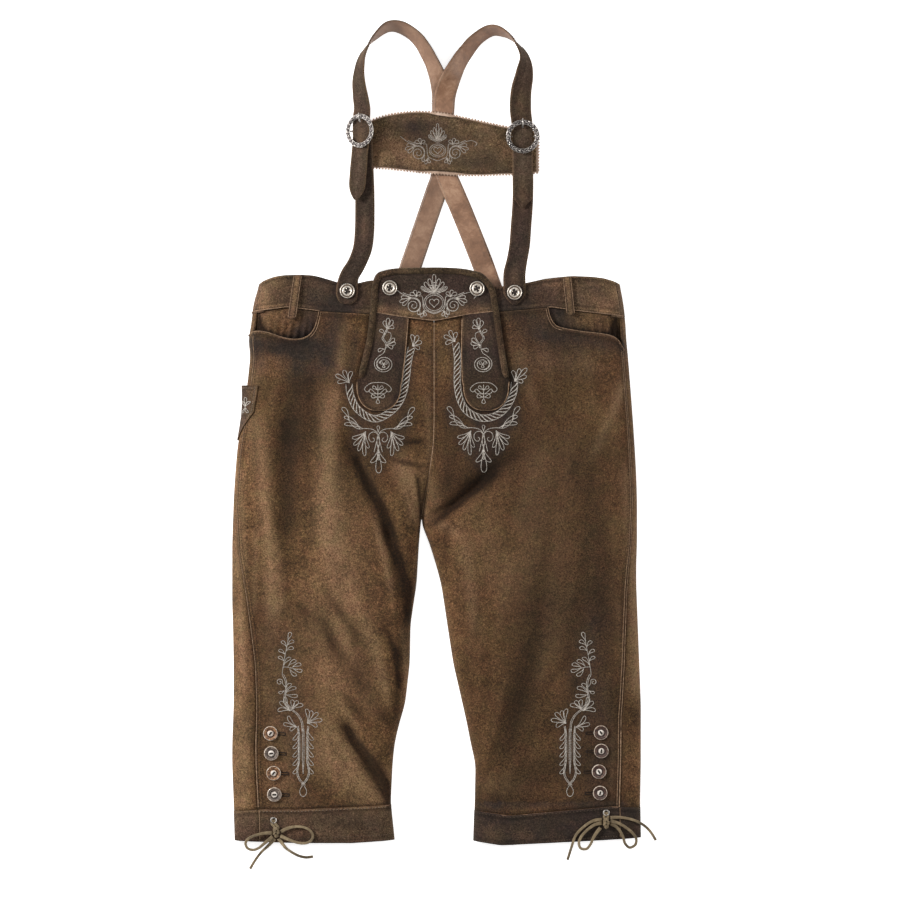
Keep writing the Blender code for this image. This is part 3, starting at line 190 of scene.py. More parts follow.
# x, y and width of each, and how high its underside is
KNEE_BUTTONS = {"left": ((-217, -394), (-216, -420), (-213, -446), (-212, -474)),
                "right": ((215, -393), (215.5, -417), (212.5, -444), (214, -472))}
BUTTONS = [("flap_button_left", -61, 188, BUTTON_WIDTH, ON_FLAP),
           ("flap_button_right", 53, 187, BUTTON_WIDTH, ON_FLAP),
           ("strap_button_left", -116.5, 184, BUTTON_WIDTH, ON_STRAP),
           ("strap_button_right", 102, 182, BUTTON_WIDTH, ON_STRAP)]
BUTTONS += [(f"knee_button_{word}_{k + 1}", *place, KNEE_BUTTON_WIDTH, LAYER_GAP)
            for word, places in KNEE_BUTTONS.items() for k, place in enumerate(places)]
# x and y of the top and of the bottom
BELT_LOOPS = (("belt_loop_left", -181, 206, -189, 148), ("belt_loop_right", 170, 206, 175.5, 153))
BELT_LOOP_WIDTH = 10.0
KNIFE_POCKET_TOP, KNIFE_POCKET_TIP, KNIFE_POCKET_STRAIGHT = 61.0, -11.0, 26.0
KNIFE_POCKET_REACH, KNIFE_POCKET_BULGE = 32.0, 7.0
KNOT_SIZE = (8.5, 15.0, 6.4)
THIN_CORD = 0.42
# pitch and length
SHORT_STITCH = (3.2, 2.2)
# eyelet, knot and the routes of the strands
BOWS = (
    ("left", (-213, -508), (-209.5, -523), {
        "loop_outer": ((-214.2, -524.6, 24.2), (-224, -524.5, 25.4), (-236, -527, 25.6), (-246, -532, 24),
                       (-250, -540, 21.5), (-244, -546.5, 20.5), (-234, -545, 22.5), (-224, -537, 26),
                       (-214.3, -529, 24.6)),
        "loop_inner": ((-204, -523, 24), (-194, -518, 24.2), (-181, -516, 23.8), (-168, -519, 23.4),
                       (-161.5, -527.5, 23), (-166, -536, 22), (-177, -538, 22), (-191, -534, 23.6),
                       (-204, -528, 24.2)),
        "end_outer": ((-211.5, -532, 22.6), (-216, -537, 22.2), (-222, -543, 19.5), (-230, -551, 12),
                      (-238, -562, 5), (-244.5, -573, 1.8)),
        "end_inner": ((-206.5, -531.5, 22.8), (-201, -539, 22.2), (-194, -547, 16), (-184, -554, 8),
                      (-173, -558, 2.6), (-162, -557, 1.8))}),
    ("right", (222, -498), (222, -511), {
        "loop_outer": ((227.5, -512, 23), (236, -517, 22.8), (243, -527, 22.2), (246.5, -538, 20.4),
                       (253.5, -544, 18), (261, -539, 17.5), (260.5, -530, 19.5), (252, -520.5, 22.4),
                       (240, -512.5, 24), (227.5, -508.5, 24)),
        "loop_inner": ((216.5, -511.5, 23.6), (207, -513.5, 23.6), (196.5, -521, 23.4), (188, -531.5, 22.8),
                       (186.5, -542, 21), (194, -546.5, 20), (201, -540, 21.5), (206.5, -528, 23.6),
                       (214.5, -517.5, 23.6)),
        "end_outer": ((227.5, -504.5, 22.8), (238, -504, 22.6), (250, -505.5, 21.8), (261, -509, 19.6),
                      (270, -514, 14), (278, -521, 6.5), (284, -529, 2.2), (287.5, -535, 1.8)),
        "end_inner": ((216.5, -507, 22.8), (205, -508.5, 22.6), (193, -516, 22.6), (182.5, -527, 22.4),
                      (177.5, -540, 19), (174.5, -552, 9), (172, -561, 2.2))}))

# Places of the suede, as strokes: both ends, half width, strength. Dark stains with painted shade, places
# where stains are grey, painted shade that gathers in folds, and rubbed places with painted highlight.
STAINS_AND_SHADE = (
    (-236, 114, -160, 107, 14, .95), (-134, 140, -142, 96, 16, .75), (-178, 92, -190, -6, 24, .84),
    (-164, 92, -160, 22, 24, .5), (-192, -10, -195, -116, 12, .55), (-232, 96, -226, 62, 18, .4),
    (-106, 120, -112, 60, 8, .55), (-72, 30, -76, -40, 34, .2), (-38, 60, -40, 0, 14, .4),
    (-5, 96, -6, 8, 11, .4), (16, 40, 14, -60, 13, .45), (62, 24, 62, -44, 34, .25),
    (96, 60, 106, 26, 11, .4), (66, -40, 40, -58, 26, .42), (142, 127, 240, 113, 12, .64),
    (124, -250, 112, -350, 36, .35), (92, 166, 140, 138, 20, .55), (150, 60, 170, -80, 95, .46),
    (100, -20, 190, -30, 42, .25), (118, -90, 150, -200, 40, .22), (124, -268, 98, -400, 42, .42),
    (200, -250, 208, -470, 42, .58), (226, -340, 222, -440, 16, .5), (216, -150, 226, -250, 20, .3),
    (150, -440, 74, -482, 26, .6), (196, -60, 214, -200, 22, .4), (-214, -270, -210, -484, 22, .18),
    (-192, -290, -192, -400, 15, .2), (-176, -360, -174, -460, 20, .15), (-226, -484, -160, -482, 7, .25),
    (70, -486, 240, -486, 8, .5), (170, -250, 180, -340, 14, .42), (-100, 20, -124, -50, 12, .35),
    (-236, -200, -226, -330, 16, .12), (40, -220, 60, -330, 18, .25))
GREY_STROKES = (
    (-214, -250, -208, -480, 24, 1), (210, -270, 212, -480, 20, .8), (-190, -250, -186, -400, 20, .7),
    (-236, 112, -160, 104, 22, .9))
SHADES = (
    (-105, -39, -87, -72, 7, .6), (-87, -72, -70, -103, 6.5, .75), (-70, -103, -60, -140, 7, .85),
    (-60, -140, -50, -168, 7, .85), (-50, -168, -38, -202, 7, .72), (-38, -202, -37, -238, 7, .62),
    (-37, -238, -44, -285, 7, .35), (-24.5, -62, -20, -111, 2.6, .95), (-33, -12, -27, -12, 5, .5),
    (-54, -37, -24, -44, 3.6, .7), (1, -118, 27, -94, 5, .75), (27, -94, 50, -73, 6, .7),
    (50, -73, 70, -61, 8, .5), (22, -76, 72, -42, 17, .4), (14, -131, 10, -161, 6, .45),
    (-140, -216, -126, -236, 6, .4), (-126, -236, -106, -266, 6.5, .5), (-172, -233, -145, -251, 8, .4),
    (-145, -251, -135, -274, 8, .42), (-135, -274, -110, -308, 9, .45), (-115, -391, -95, -418, 6, .85),
    (-95, -418, -77, -441, 6, .95), (-77, -441, -66, -462, 6, .8), (-109, -406, -86, -433, 4.2, .9),
    (-86, -433, -71, -457, 6.4, 1.0), (-71, -457, -60, -482, 6.4, 1.0), (-106, -266, -98, -330, 8, .35),
    (-98, -330, -70, -372, 9, .42), (-70, -372, -52, -384, 8, .42), (-68, -258, -52, -289, 5.5, .6),
    (-52, -289, -50, -325, 5, .75), (-50, -325, -54, -366, 5.5, .65), (-115, -350, -98, -378, 6.5, .45),
    (-64, -470, -60, -490, 6, .6), (136, -262, 110, -352, 13, .28), (100, -356, 92, -410, 12, .25),
    (212, -210, 222, -300, 9, .25), (38, -300, 50, -400, 8, .3), (56, -440, 52, -486, 6, .4),
    (-240, 20, -236, -60, 6, .25), (-228, 113, -166, 112, 9, .2), (-160, 20, -150, -40, 6, .22),
    (30, -10, 14, -60, 7, .25), (-96, -62, -78, -96, 3, .4), (-40, -14, -22, -12, 3.6, .7))
RUBBED_AND_HIGHLIT = (
    (-238, 10, -212, -225, 11, .6), (-121, 132, -136, 0, 6, .5), (-146, 24, -141, -112, 12, .72),
    (-141, -112, -120, -216, 16, .55), (-128, -150, -122, -250, 40, .38), (-152, -260, -138, -340, 30, .45),
    (-150, -420, -96, -462, 26, .7), (-150, -380, -118, -420, 12, .6), (-255, -170, -256, -480, 9, .5),
    (-206, -280, -196, -470, 26, .3), (-258, -60, -257, -170, 8, .6), (-257, -236, -251, -330, 4, .6),
    (-236, -130, -238, -230, 4, .4), (-46, -46, -30, -86, 12, .8), (-34, -60, -30, -106, 7, .7),
    (-2, -88, -12, -60, 9, .45), (-8, -112, 20, -128, 7, .55), (-234, 82, -240, 50, 7, .55),
    (242, 54, 210, -20, 6, .75), (64, -140, 84, -190, 28, .3), (158, -160, 150, -262, 22, .3),
    (147, -229, 136, -314, 8, .4), (250, -60, 260, -330, 9, .78), (238, -230, 244, -330, 4, .45),
    (62, -460, 96, -462, 12, .35), (110, 96, 126, 40, 7, .45), (150, 92, 190, 86, 12, .3),
    (-92, -250, -70, -330, 8, .5), (-44, -262, -38, -340, 4, .55), (-74, -130, -60, -196, 6, .5),
    (-97, -42, -79, -84, 4, .4), (-81, -112, -72, -150, 5, .5), (40, -160, 52, -250, 8, .35),
    (-10, 40, -8, -30, 6, .4), (128, -40, 108, -110, 10, .25), (228, -460, 236, -400, 5, .4),
    (-248, -380, -250, -480, 7, .4), (-106, -400, -84, -432, 3.5, .5), (-126, -356, -106, -382, 4, .35),
    (-84, -470, -70, -452, 5, .4))


def pick(side, left, right):
    return left if side == LEFT else right


def bell(offset, width):
    return np.exp(-(offset / width) ** 2)


def interp(table, key, column=1):
    table = np.asarray(table, float)
    return np.interp(key, table[:, 0], table[:, column])


def edge_y(edge, x):
    return sum(interp(edge, np.asarray(x) + offset) for offset in (-3, 0, 3)) / 3


def outline(y, column):
    return sum(interp(SECTIONS, np.asarray(y) + offset, column) for offset in SMOOTHING) / len(SMOOTHING)


def rise(share):
    return np.sqrt(np.maximum(0, 1 - (1 - np.clip(share, 0, 1)) ** 2))


def creased(x, y, rows):
    total = np.zeros(np.broadcast(x, y).shape)
    west, east, south, north = np.min(x), np.max(x), np.min(y), np.max(y)
    for x0, y0, x1, y1, half_width, height in rows:
        reach = 5 * half_width
        if min(x0, x1) - reach > east or max(x0, x1) + reach < west:
            continue
        if min(y0, y1) - reach > north or max(y0, y1) + reach < south:
            continue
        along_x, along_y = x1 - x0, y1 - y0
        length = math.hypot(along_x, along_y)
        along = ((x - x0) * along_x + (y - y0) * along_y) / length
        across = ((x - x0) * along_y - (y - y0) * along_x) / length
        beyond = np.maximum(np.maximum(-along, along - length), 0)
        total += height * np.exp(-(across / half_width) ** 2 - (beyond / (2 * half_width)) ** 2)
    return total


WAVES = {}
WAVE_COUNT = 7


def ripple(x, y, size, seed):
    """Smooth unevenness of about a size, from a few waves in different directions."""
    if seed not in WAVES:
        turn = np.random.RandomState(seed)
        WAVES[seed] = [(turn.uniform(0, math.pi), turn.uniform(0, 6.28), turn.uniform(0.7, 1.5))
                       for _ in range(WAVE_COUNT)]
    total = np.zeros(np.broadcast(x, y).shape)
    for angle, phase, scale in WAVES[seed]:
        total += np.sin((x * math.cos(angle) + y * math.sin(angle)) * 2 * math.pi / (size * scale) + phase)
    return total / WAVE_COUNT


class Half:
    """One half of the trousers at heights y: its folds' places and the contour round it."""

    def __init__(self, side, y):
        self.side, self.y = side, np.asarray(y, float)
        self.outer = outline(y, pick(side, 1, 4))
        self.inner = outline(y, pick(side, 2, 3)) + side * SEAM_GAP / 2
        self.loft = outline(y, 5)
        share = np.clip((SEAT_END - self.y) / (SEAT_END - CROTCH), 0, 1)
        self.apart = share * share * (3 - 2 * share)
        self.width = np.abs(self.inner - self.outer)
        gain = math.pi / 2 - 1
        self.top_length = self.width + CROWN_WIDTH * gain * (1 + self.apart)
        self.bottom_length = self.width + FOLD_HEIGHT * gain * (1 + self.apart)

    def from_edges(self, x):
        return np.maximum((self.outer - x) * self.side, 0), np.abs(self.inner - x)

    def top_height(self, x, fine=True):
        from_outer, from_inner = self.from_edges(x)
        crown = rise(from_outer / CROWN_WIDTH)
        crown = crown * (1 - self.apart * (1 - rise(from_inner / CROWN_WIDTH)))
        folds = creased(x, self.y, FOLDS)
        if fine:
            folds = folds + creased(x, self.y, CREASES)
            for height, size, seed in UNEVENNESS:
                folds = folds + height * ripple(x, self.y, size, seed)
        return FOLD_HEIGHT + (self.loft - FOLD_HEIGHT) * crown + folds * crown ** 2

    def bottom_height(self, x):
        from_outer, from_inner = self.from_edges(x)
        lifted = 1 - rise(from_outer / FOLD_HEIGHT) + self.apart * (1 - rise(from_inner / FOLD_HEIGHT))
        return FOLD_HEIGHT * lifted

    def inward(self, along, length, radius):
        quarter = radius * math.pi / 2
        left = length - along
        start = radius * (1 - np.cos(np.minimum(along, quarter) / radius))
        end = self.apart * radius * (1 - np.cos(np.clip(left, 0, quarter) / radius))
        near_end = self.width - end - (1 - self.apart) * left
        return np.where(along < quarter, start, np.where(left < quarter, near_end, radius + along - quarter))

    def along_top(self, inward):
        near = CROWN_WIDTH * np.arccos(np.clip(1 - inward / CROWN_WIDTH, -1, 1))
        return np.where(inward < CROWN_WIDTH, near, CROWN_WIDTH * math.pi / 2 + inward - CROWN_WIDTH)

    def point(self, along):
        """A point of the contour, from its distance round it: over 0 on the front, under 0 on the back."""
        along = np.asarray(along, float)
        x_top = self.outer - self.side * self.inward(np.maximum(along, 0), self.top_length, CROWN_WIDTH)
        x_low = self.outer - self.side * self.inward(np.maximum(-along, 0), self.bottom_length, FOLD_HEIGHT)
        x = np.where(along >= 0, x_top, x_low)
        z = np.where(along >= 0, self.top_height(x), self.bottom_height(x))
        return np.stack(np.broadcast_arrays(x, self.y, z), -1)


def unit(v):
    return v / np.maximum(np.linalg.norm(v, axis=-1, keepdims=True), 1e-9)


def upright(count, axis=2):
    """One axis' direction, for each of count points."""
    return np.tile(np.eye(3)[axis], (count, 1))


def skin(side, along, y, lift=0.0):
    """(points, normals) of the trousers' outer face."""
    here = Half(side, y)
    across = here.point(along + 1.0) - here.point(along - 1.0)
    down = Half(side, y - 1.0).point(along) - Half(side, y + 1.0).point(along)
    normal = unit(np.cross(across, down)) * side
    share = np.where(lift > 0, (1 + normal[..., 2:]) / 2, 1.0)
    return here.point(along) + normal * lift * share, normal


def front_height(x, y, fine=True):
    x, y = np.broadcast_arrays(np.asarray(x, float), np.asarray(y, float))
    heights = [Half(side, y).top_height(x, fine) for side in (LEFT, RIGHT)]
    return np.where(x < outline(y, 2), *heights)


def on_front(x, y, lift, fine=True):
    """(points, normals) over the trousers' front; fine is False for what spans the finest creases."""
    x, y = np.broadcast_arrays(np.asarray(x, float), np.asarray(y, float))
    slope_x = (front_height(x + 2, y, fine) - front_height(x - 2, y, fine)) / 4
    slope_y = (front_height(x, y + 2, fine) - front_height(x, y - 2, fine)) / 4
    normal = unit(np.stack((-slope_x, -slope_y, np.ones_like(slope_x)), -1))
    lift = np.asarray(lift)[..., None] if np.ndim(lift) else lift
    return np.stack((x, y, front_height(x, y, fine)), -1) + normal * lift, normal


def side_seam(side, y):
    return Half(side, y).along_top(interp(SIDE_SEAMS, y, pick(side, 1, 2)))


def smooth_path(points, samples):
    """A curve through all the points."""
    points = np.array(points, float)
    ends = np.vstack([2 * points[0] - points[1], points, 2 * points[-1] - points[-2]])
    path = []
    for i in range(len(points) - 1):
        p0, p1, p2, p3 = ends[i:i + 4]
        for t in np.arange(samples) / samples:
            path.append(0.5 * (2 * p1 + (p2 - p0) * t + (2 * p0 - 5 * p1 + 4 * p2 - p3) * t ** 2
                               + (3 * p1 - p0 - 3 * p2 + p3) * t ** 3))
    path.append(points[-1])
    return np.array(path)


def lengths_along(path):
    return np.concatenate([[0], np.cumsum(np.linalg.norm(np.diff(path, axis=0), axis=1))])


def evenly(path, step, least=1):
    """The path read again at even distances of about a step, measured in its first columns."""
    path = np.asarray(path, float)
    along = lengths_along(path[:, :min(3, path.shape[1])])
    count = max(least, round(along[-1] / step)) + 1
    at = np.linspace(0, along[-1], count)
    return np.stack([np.interp(at, along, path[:, k]) for k in range(path.shape[1])], -1)


def beside(route):
    """Directions to the right of a flat route, at each of its points."""
    along = unit(np.gradient(route, axis=0))
    return np.stack((along[:, 1], -along[:, 0]), -1)


# ------------------------------------------------------------------ materials

class Look:
    """A material while it is made. Its methods take both values and other nodes' outputs."""

    def __init__(self, name):
        self.made = bpy.data.materials.new(name)
        self.made.use_nodes = True
        self.tree = self.made.node_tree
        self.shader = self.tree.nodes["Principled BSDF"]

    def put(self, node, inputs):
        for key, value in dict(inputs).items():
            socket = node.inputs[key]
            if isinstance(value, bpy.types.NodeSocket):
                self.tree.links.new(value, socket)
            else:
                socket.default_value = (*value, 1) if isinstance(value, tuple) else value

    def node(self, kind, inputs=(), **settings):
        node = self.tree.nodes.new(kind)
        for key, value in settings.items():
            setattr(node, key, value)
        self.put(node, inputs)
        return node

    def coords(self):
        return self.node("ShaderNodeTexCoord").outputs["Object"]

    def noise(self, coords, scale, detail=4.0, rough=0.55, distortion=0.0):
        return self.node("ShaderNodeTexNoise", {"Vector": coords, "Scale": scale, "Detail": detail,
                                                "Roughness": rough, "Distortion": distortion}).outputs["Fac"]

    def math(self, operation, *values):
        return self.node("ShaderNodeMath", enumerate(values), operation=operation).outputs[0]

    def total(self, first, *values):
        for value in values:
            first = self.math("ADD", first, value)
        return first

    def about(self, value, share):
        """A noise's swing to both sides of its middle, scaled."""
        return self.math("MULTIPLY", self.math("SUBTRACT", value, 0.5), share)

    def clamped(self, value):
        return self.node("ShaderNodeClamp", {"Value": value}).outputs[0]

    def only_over(self, least, measured, value):
        """The value where what is measured is over the least, and else 0."""
        return self.math("MULTIPLY", value, self.math("GREATER_THAN", measured, least))

    def ramp(self, factor, *stops):
        node = self.node("ShaderNodeValToRGB", {"Fac": factor})
        elements = node.color_ramp.elements
        while len(elements) < len(stops):
            elements.new(0.5)
        for element, (place, colour) in zip(elements, stops):
            element.position = place
            element.color = (*colour, 1)
        return node.outputs["Color"]

    def greys(self, factor, *stops):
        return self.ramp(factor, *((place, (value,) * 3) for place, value in stops))

    def mix(self, factor, first, second, kind="MIX"):
        return self.node("ShaderNodeMix", {"Factor": factor, 6: first, 7: second}, data_type="RGBA",
                         blend_type=kind).outputs[2]

    def attribute(self, name):
        return self.node("ShaderNodeAttribute", attribute_name=name).outputs["Fac"]

    def finished(self, inputs, *bumps):
        """The material, with bumps as (height, distance in millimetres, strength) from coarse to fine."""
        normal = {}
        for height, distance, strength in bumps:
            node = self.node("ShaderNodeBump", {"Distance": distance * MM, "Strength": strength,
                                                "Height": height, **normal})
            normal = {"Normal": node.outputs["Normal"]}
        self.put(self.shader, {**inputs, **normal})
        return self.made


def suede(name, dark, mid, light, speckle=1.0):
    look = Look(name)
    coords = look.coords()
    clouds = look.noise(coords, 9, 4, 0.6, 0.4)
    blotches = look.noise(coords, 38, 5, 0.65, 0.4)
    grain = look.noise(coords, 300, 4, 0.8, 0.8)
    nap = look.noise(coords, 640, 2, 0.6, 1.2)
    crumple = look.noise(coords, 17, 3, 0.5, 1.4)
    about, total = look.about, look.total
    factor = total(about(clouds, 0.6), about(blotches, 0.8), about(grain, 1.25), about(nap, 0.5), 0.5)
    colour = look.ramp(factor, (0.22, dark), (0.50, mid), (0.80, light))
    # Rubbed places with painted highlight are lighter; stains with painted shade are darker, grey or brown;
    # painted shade in folds is darkest.
    uneven = total(about(blotches, 1.6), about(grain, 2.2), 0.9)
    rub = look.clamped(look.math("MULTIPLY", look.attribute("rubbed"), uneven))
    colour = look.mix(rub, colour, RUB_AND_HIGHLIGHT_COLOUR)
    stained = look.attribute("stain")
    stain_shade_amount = look.only_over(0.02, stained, total(stained, about(blotches, 1.3), about(grain, 0.9)))
    darkened = look.mix(look.attribute("cool"), WARM_STAIN_AND_SHADE, STAIN_AND_SHADE_COLOUR)
    colour = look.mix(look.clamped(stain_shade_amount), colour, darkened)
    for value, share in ((look.noise(coords, 27, 3, 0.6, 0.5), TINT),
                         (look.noise(coords, 120, 3, 0.7), 0.6 * TINT)):
        hue = look.ramp(value, (0.40, (1 - 0.10 * share, 1 + 0.03 * share, 1 - 0.08 * share)),
                        (0.60, (1 + 0.12 * share, 1 - 0.05 * share, 1 + 0.04 * share)))
        colour = look.mix(1.0, colour, hue, "MULTIPLY")
    for value, share in ((nap, 1.0), (look.noise(coords, 430, 3, 0.7, 0.6), 0.55)):
        fleck = look.ramp(value, (0.35, (0.50, 0.49, 0.48)), (0.65, (1.48, 1.45, 1.40)))
        colour = look.mix(share * speckle, colour, fleck, "MULTIPLY")
    shade = look.attribute("shade")
    shaded = look.clamped(total(shade, about(blotches, 0.5), about(grain, 0.4)))
    deep = look.mix(1.0, colour, SHADE_COLOUR, "MULTIPLY")
    colour = look.mix(look.only_over(0.04, shade, shaded), colour, deep)
    return look.finished(
        {"Base Color": colour, "Roughness": 0.93, "Specular IOR Level": 0.15, "Sheen Weight": 0.10,
         "Sheen Roughness": 0.5, "Sheen Tint": (0.75, 0.58, 0.40)},
        (crumple, 5.0, 0.30), (blotches, 1.6, 0.4), (grain, 0.8, 0.7), (nap, 0.3, 0.7))


def smooth_leather(name, dark, mid, light, roughness=0.52):
    look = Look(name)
    coords = look.coords()
    clouds = look.noise(coords, 26, 5, 0.6, 0.6)
    scuffs = look.noise(coords, 160, 5, 0.7, 0.8)
    pores = look.node("ShaderNodeTexVoronoi", {"Scale": 900, "Vector": coords}).outputs["Distance"]
    factor = look.total(look.math("MULTIPLY", clouds, 0.6), look.math("MULTIPLY", scuffs, 0.4))
    colour = look.ramp(factor, (0.36, dark), (0.5, mid), (0.66, light))
    colour = look.mix(look.clamped(look.attribute("stain")), colour, (0.10, 0.06, 0.04))
    rough = look.greys(scuffs, (0.3, roughness - 0.12), (0.7, roughness + 0.18))
    return look.finished({"Base Color": colour, "Roughness": rough},
                         (clouds, 1.2, 0.25), (scuffs, 0.4, 0.4), (pores, 0.12, 0.5))


def thread(name, dark, light, sheen=0.3):
    look = Look(name)
    coords = look.coords()
    colour = look.ramp(look.noise(coords, 420, 3, 0.6), (0.36, dark), (0.62, light))
    fibres = look.noise(coords, 3200, 2, 0.6)
    return look.finished({"Base Color": colour, "Roughness": 0.8, "Specular IOR Level": 0.15 + sheen,
                          "Sheen Weight": sheen}, (fibres, 0.12, 0.7))


def metal(name, dark, light, roughness=0.3):
    look = Look(name)
    coords = look.coords()
    tarnish = look.noise(coords, 500, 4, 0.65)
    pits = look.noise(coords, 1800, 3, 0.6)
    colour = look.ramp(tarnish, (0.36, dark), (0.58, light))
    rough = look.greys(tarnish, (0.3, roughness + 0.22), (0.65, roughness))
    return look.finished({"Base Color": colour, "Metallic": 1.0, "Roughness": rough}, (pits, 0.1, 0.4))


def horn(name, dark, mid, light, roughness=0.42, coat=0.1):
    look = Look(name)
    coords = look.coords()
    streaks = look.noise(coords, 240, 4, 0.6, 1.6)
    pores = look.noise(coords, 1500, 3, 0.6)
    colour = look.ramp(streaks, (0.36, dark), (0.5, mid), (0.64, light))
    return look.finished({"Base Color": colour, "Roughness": roughness, "Coat Weight": coat},
                         (streaks, 0.3, 0.25), (pores, 0.08, 0.4))


# Colours of stains with painted shade, and of rubbed places with painted highlight; SHADE_COLOUR darkens
# where shade is painted.
STAIN_AND_SHADE_COLOUR, RUB_AND_HIGHLIGHT_COLOUR = (0.0255, 0.0185, 0.0158), (0.206, 0.127, 0.071)
SHADE_COLOUR = (0.17, 0.15, 0.135)
WARM_STAIN_AND_SHADE = tuple(float(c) for c in np.array(STAIN_AND_SHADE_COLOUR) * (1.08, 0.90, 0.58))
TINT = 0.36

SUEDE = suede("suede", (0.027, 0.0145, 0.0070), (0.086, 0.0455, 0.0205), (0.195, 0.110, 0.052))
BAND_SUEDE = suede("suede_bands", (0.026, 0.0155, 0.0095), (0.074, 0.045, 0.028), (0.160, 0.102, 0.064))
DARK_SUEDE = suede("suede_dark", (0.017, 0.0112, 0.009), (0.039, 0.0245, 0.0185), (0.082, 0.054, 0.041))
STRAP_SUEDE = suede("suede_strap", (0.020, 0.0125, 0.0085), (0.050, 0.033, 0.023), (0.100, 0.069, 0.050), 0.6)
DARK_STRAP = suede("suede_strap_dark", (0.0135, 0.0088, 0.0068), (0.0345, 0.0228, 0.0182),
                   (0.073, 0.050, 0.040), 0.6)
CHEST_SUEDE = suede("suede_chest", (0.036, 0.0225, 0.0125), (0.094, 0.060, 0.034), (0.190, 0.130, 0.078))
WELT = suede("flap_welt_leather", (0.016, 0.0105, 0.007), (0.044, 0.028, 0.0165), (0.095, 0.062, 0.037))
TAN = smooth_leather("tan_leather", (0.13, 0.062, 0.031), (0.228, 0.118, 0.066), (0.37, 0.226, 0.141))
BACKING = smooth_leather("backing_leather", (0.24, 0.150, 0.10), (0.40, 0.275, 0.20), (0.58, 0.44, 0.345))
LACE = smooth_leather("lace_leather", (0.075, 0.052, 0.025), (0.155, 0.111, 0.058),
                      (0.31, 0.238, 0.142), 0.68)
PIPING = thread("piping", (0.125, 0.074, 0.042), (0.315, 0.200, 0.122), 0.05)
SILK = thread("embroidery_thread", (0.22, 0.19, 0.162), (0.51, 0.47, 0.42))
DULL_SILK = thread("chest_bar_thread", (0.16, 0.135, 0.11), (0.37, 0.325, 0.28))
SEWING = thread("sewing_thread", (0.13, 0.095, 0.070), (0.28, 0.215, 0.16), 0.1)
DULL_SEWING = thread("dull_sewing_thread", (0.052, 0.036, 0.025), (0.115, 0.080, 0.054), 0.0)
DARK_SEWING = thread("dark_sewing_thread", (0.012, 0.0075, 0.0055), (0.028, 0.0185, 0.0135), 0.0)
SILVER = metal("antique_silver", (0.07, 0.062, 0.058), (0.66, 0.62, 0.575), 0.30)
IVORY_SILVER = metal("warm_silver", (0.34, 0.29, 0.245), (0.86, 0.80, 0.72), 0.42)
DARK_SILVER = metal("blackened_silver", (0.020, 0.017, 0.018), (0.11, 0.095, 0.095), 0.45)
HORN = horn("horn", (0.055, 0.023, 0.010), (0.185, 0.086, 0.038), (0.42, 0.23, 0.115))
GREY_HORN = horn("grey_horn", (0.034, 0.023, 0.018), (0.105, 0.076, 0.060), (0.26, 0.205, 0.165))
RED_HORN = horn("red_horn", (0.022, 0.010, 0.008), (0.052, 0.024, 0.017), (0.13, 0.066, 0.046))
HORN_GROOVE = horn("button_groove", (0.03, 0.02, 0.014), (0.09, 0.06, 0.04), (0.2, 0.14, 0.095), 0.5, 0.0)
# The pale ring on the horn buttons' rims is a painted highlight.
HORN_RIM_HIGHLIGHT = horn("horn_rim_highlight", (0.22, 0.155, 0.11), (0.48, 0.385, 0.305), (0.74, 0.66, 0.57))
PALE_HORN = horn("pale_horn", (0.42, 0.36, 0.30), (0.64, 0.58, 0.52), (0.85, 0.81, 0.76), 0.34, 0.25)
# Near-black: painted shade in the buttons' grooves and hollow middles; the knee buttons' threads use it too.
HOLLOW_SHADE = horn("button_groove", (0.008, 0.005, 0.0035), (0.018, 0.011, 0.008), (0.035, 0.024, 0.017), 0.85, 0.0)


# ------------------------------------------------------------------ meshes


def mesh_object(name, node, points, faces, materials, slots=None, masks=None):
    """A mesh from points in millimetres, in place of a node of the frame or, where that is None, added to it.

    faces is a list of index arrays of one length each.
    """
    mesh = bpy.data.meshes.new(name)
    points = np.asarray(points, float) * MM
    mesh.vertices.add(len(points))
    mesh.vertices.foreach_set("co", points.ravel())
    sizes = np.concatenate([np.full(len(f), f.shape[1]) for f in faces])
    corners = np.concatenate([f.ravel() for f in faces]).astype(np.int32)
    mesh.loops.add(len(corners))
    mesh.loops.foreach_set("vertex_index", corners)
    mesh.polygons.add(len(sizes))
    mesh.polygons.foreach_set("loop_start", np.concatenate([[0], np.cumsum(sizes)[:-1]]).astype(np.int32))
    mesh.polygons.foreach_set("use_smooth", np.full(len(sizes), True))
    for made in materials:
        mesh.materials.append(made)
    if slots is not None:
        mesh.polygons.foreach_set("material_index", np.asarray(slots, np.int32))
    for key, values in (masks or {}).items():
        layer = mesh.attributes.new(key, "FLOAT", "POINT")
        layer.data.foreach_set("value", np.asarray(values, np.float32))
    mesh.update(calc_edges=True)
    mesh.validate()
    obj = bpy.data.objects.new(name, mesh)
    bpy.context.scene.collection.objects.link(obj)
    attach(obj, "root")
    if node:
        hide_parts(node)
    return obj


def grid_faces(rows, columns, start=0, turned=False, closed=False):
    i, j = np.meshgrid(np.arange(rows - 1), np.arange(columns if closed else columns - 1), indexing="ij")
    k = (j + 1) % columns
    quads = np.stack((i * columns + j, (i + 1) * columns + j, (i + 1) * columns + k, i * columns + k), -1)
    quads = quads.reshape(-1, 4) + start
    return quads[:, ::-1] if turned else quads


def wall_faces(rows, columns, turned=False):
    """Faces of a closed wall between two grids of points, one listed after the other: outer, inner, rim."""
    count = rows * columns
    ring = np.concatenate([np.arange(columns), np.arange(1, rows) * columns + columns - 1,
                           (rows - 1) * columns + np.arange(columns - 2, -1, -1),
                           np.arange(rows - 2, 0, -1) * columns])
    following = np.roll(ring, -1)
    rim = np.stack((ring, following, following + count, ring + count), -1)
    return [grid_faces(rows, columns, 0, turned), grid_faces(rows, columns, count, not turned),
            rim[:, ::-1] if turned else rim]


def normals_of(grid):
    return unit(np.cross(np.gradient(grid, axis=0), np.gradient(grid, axis=1)))


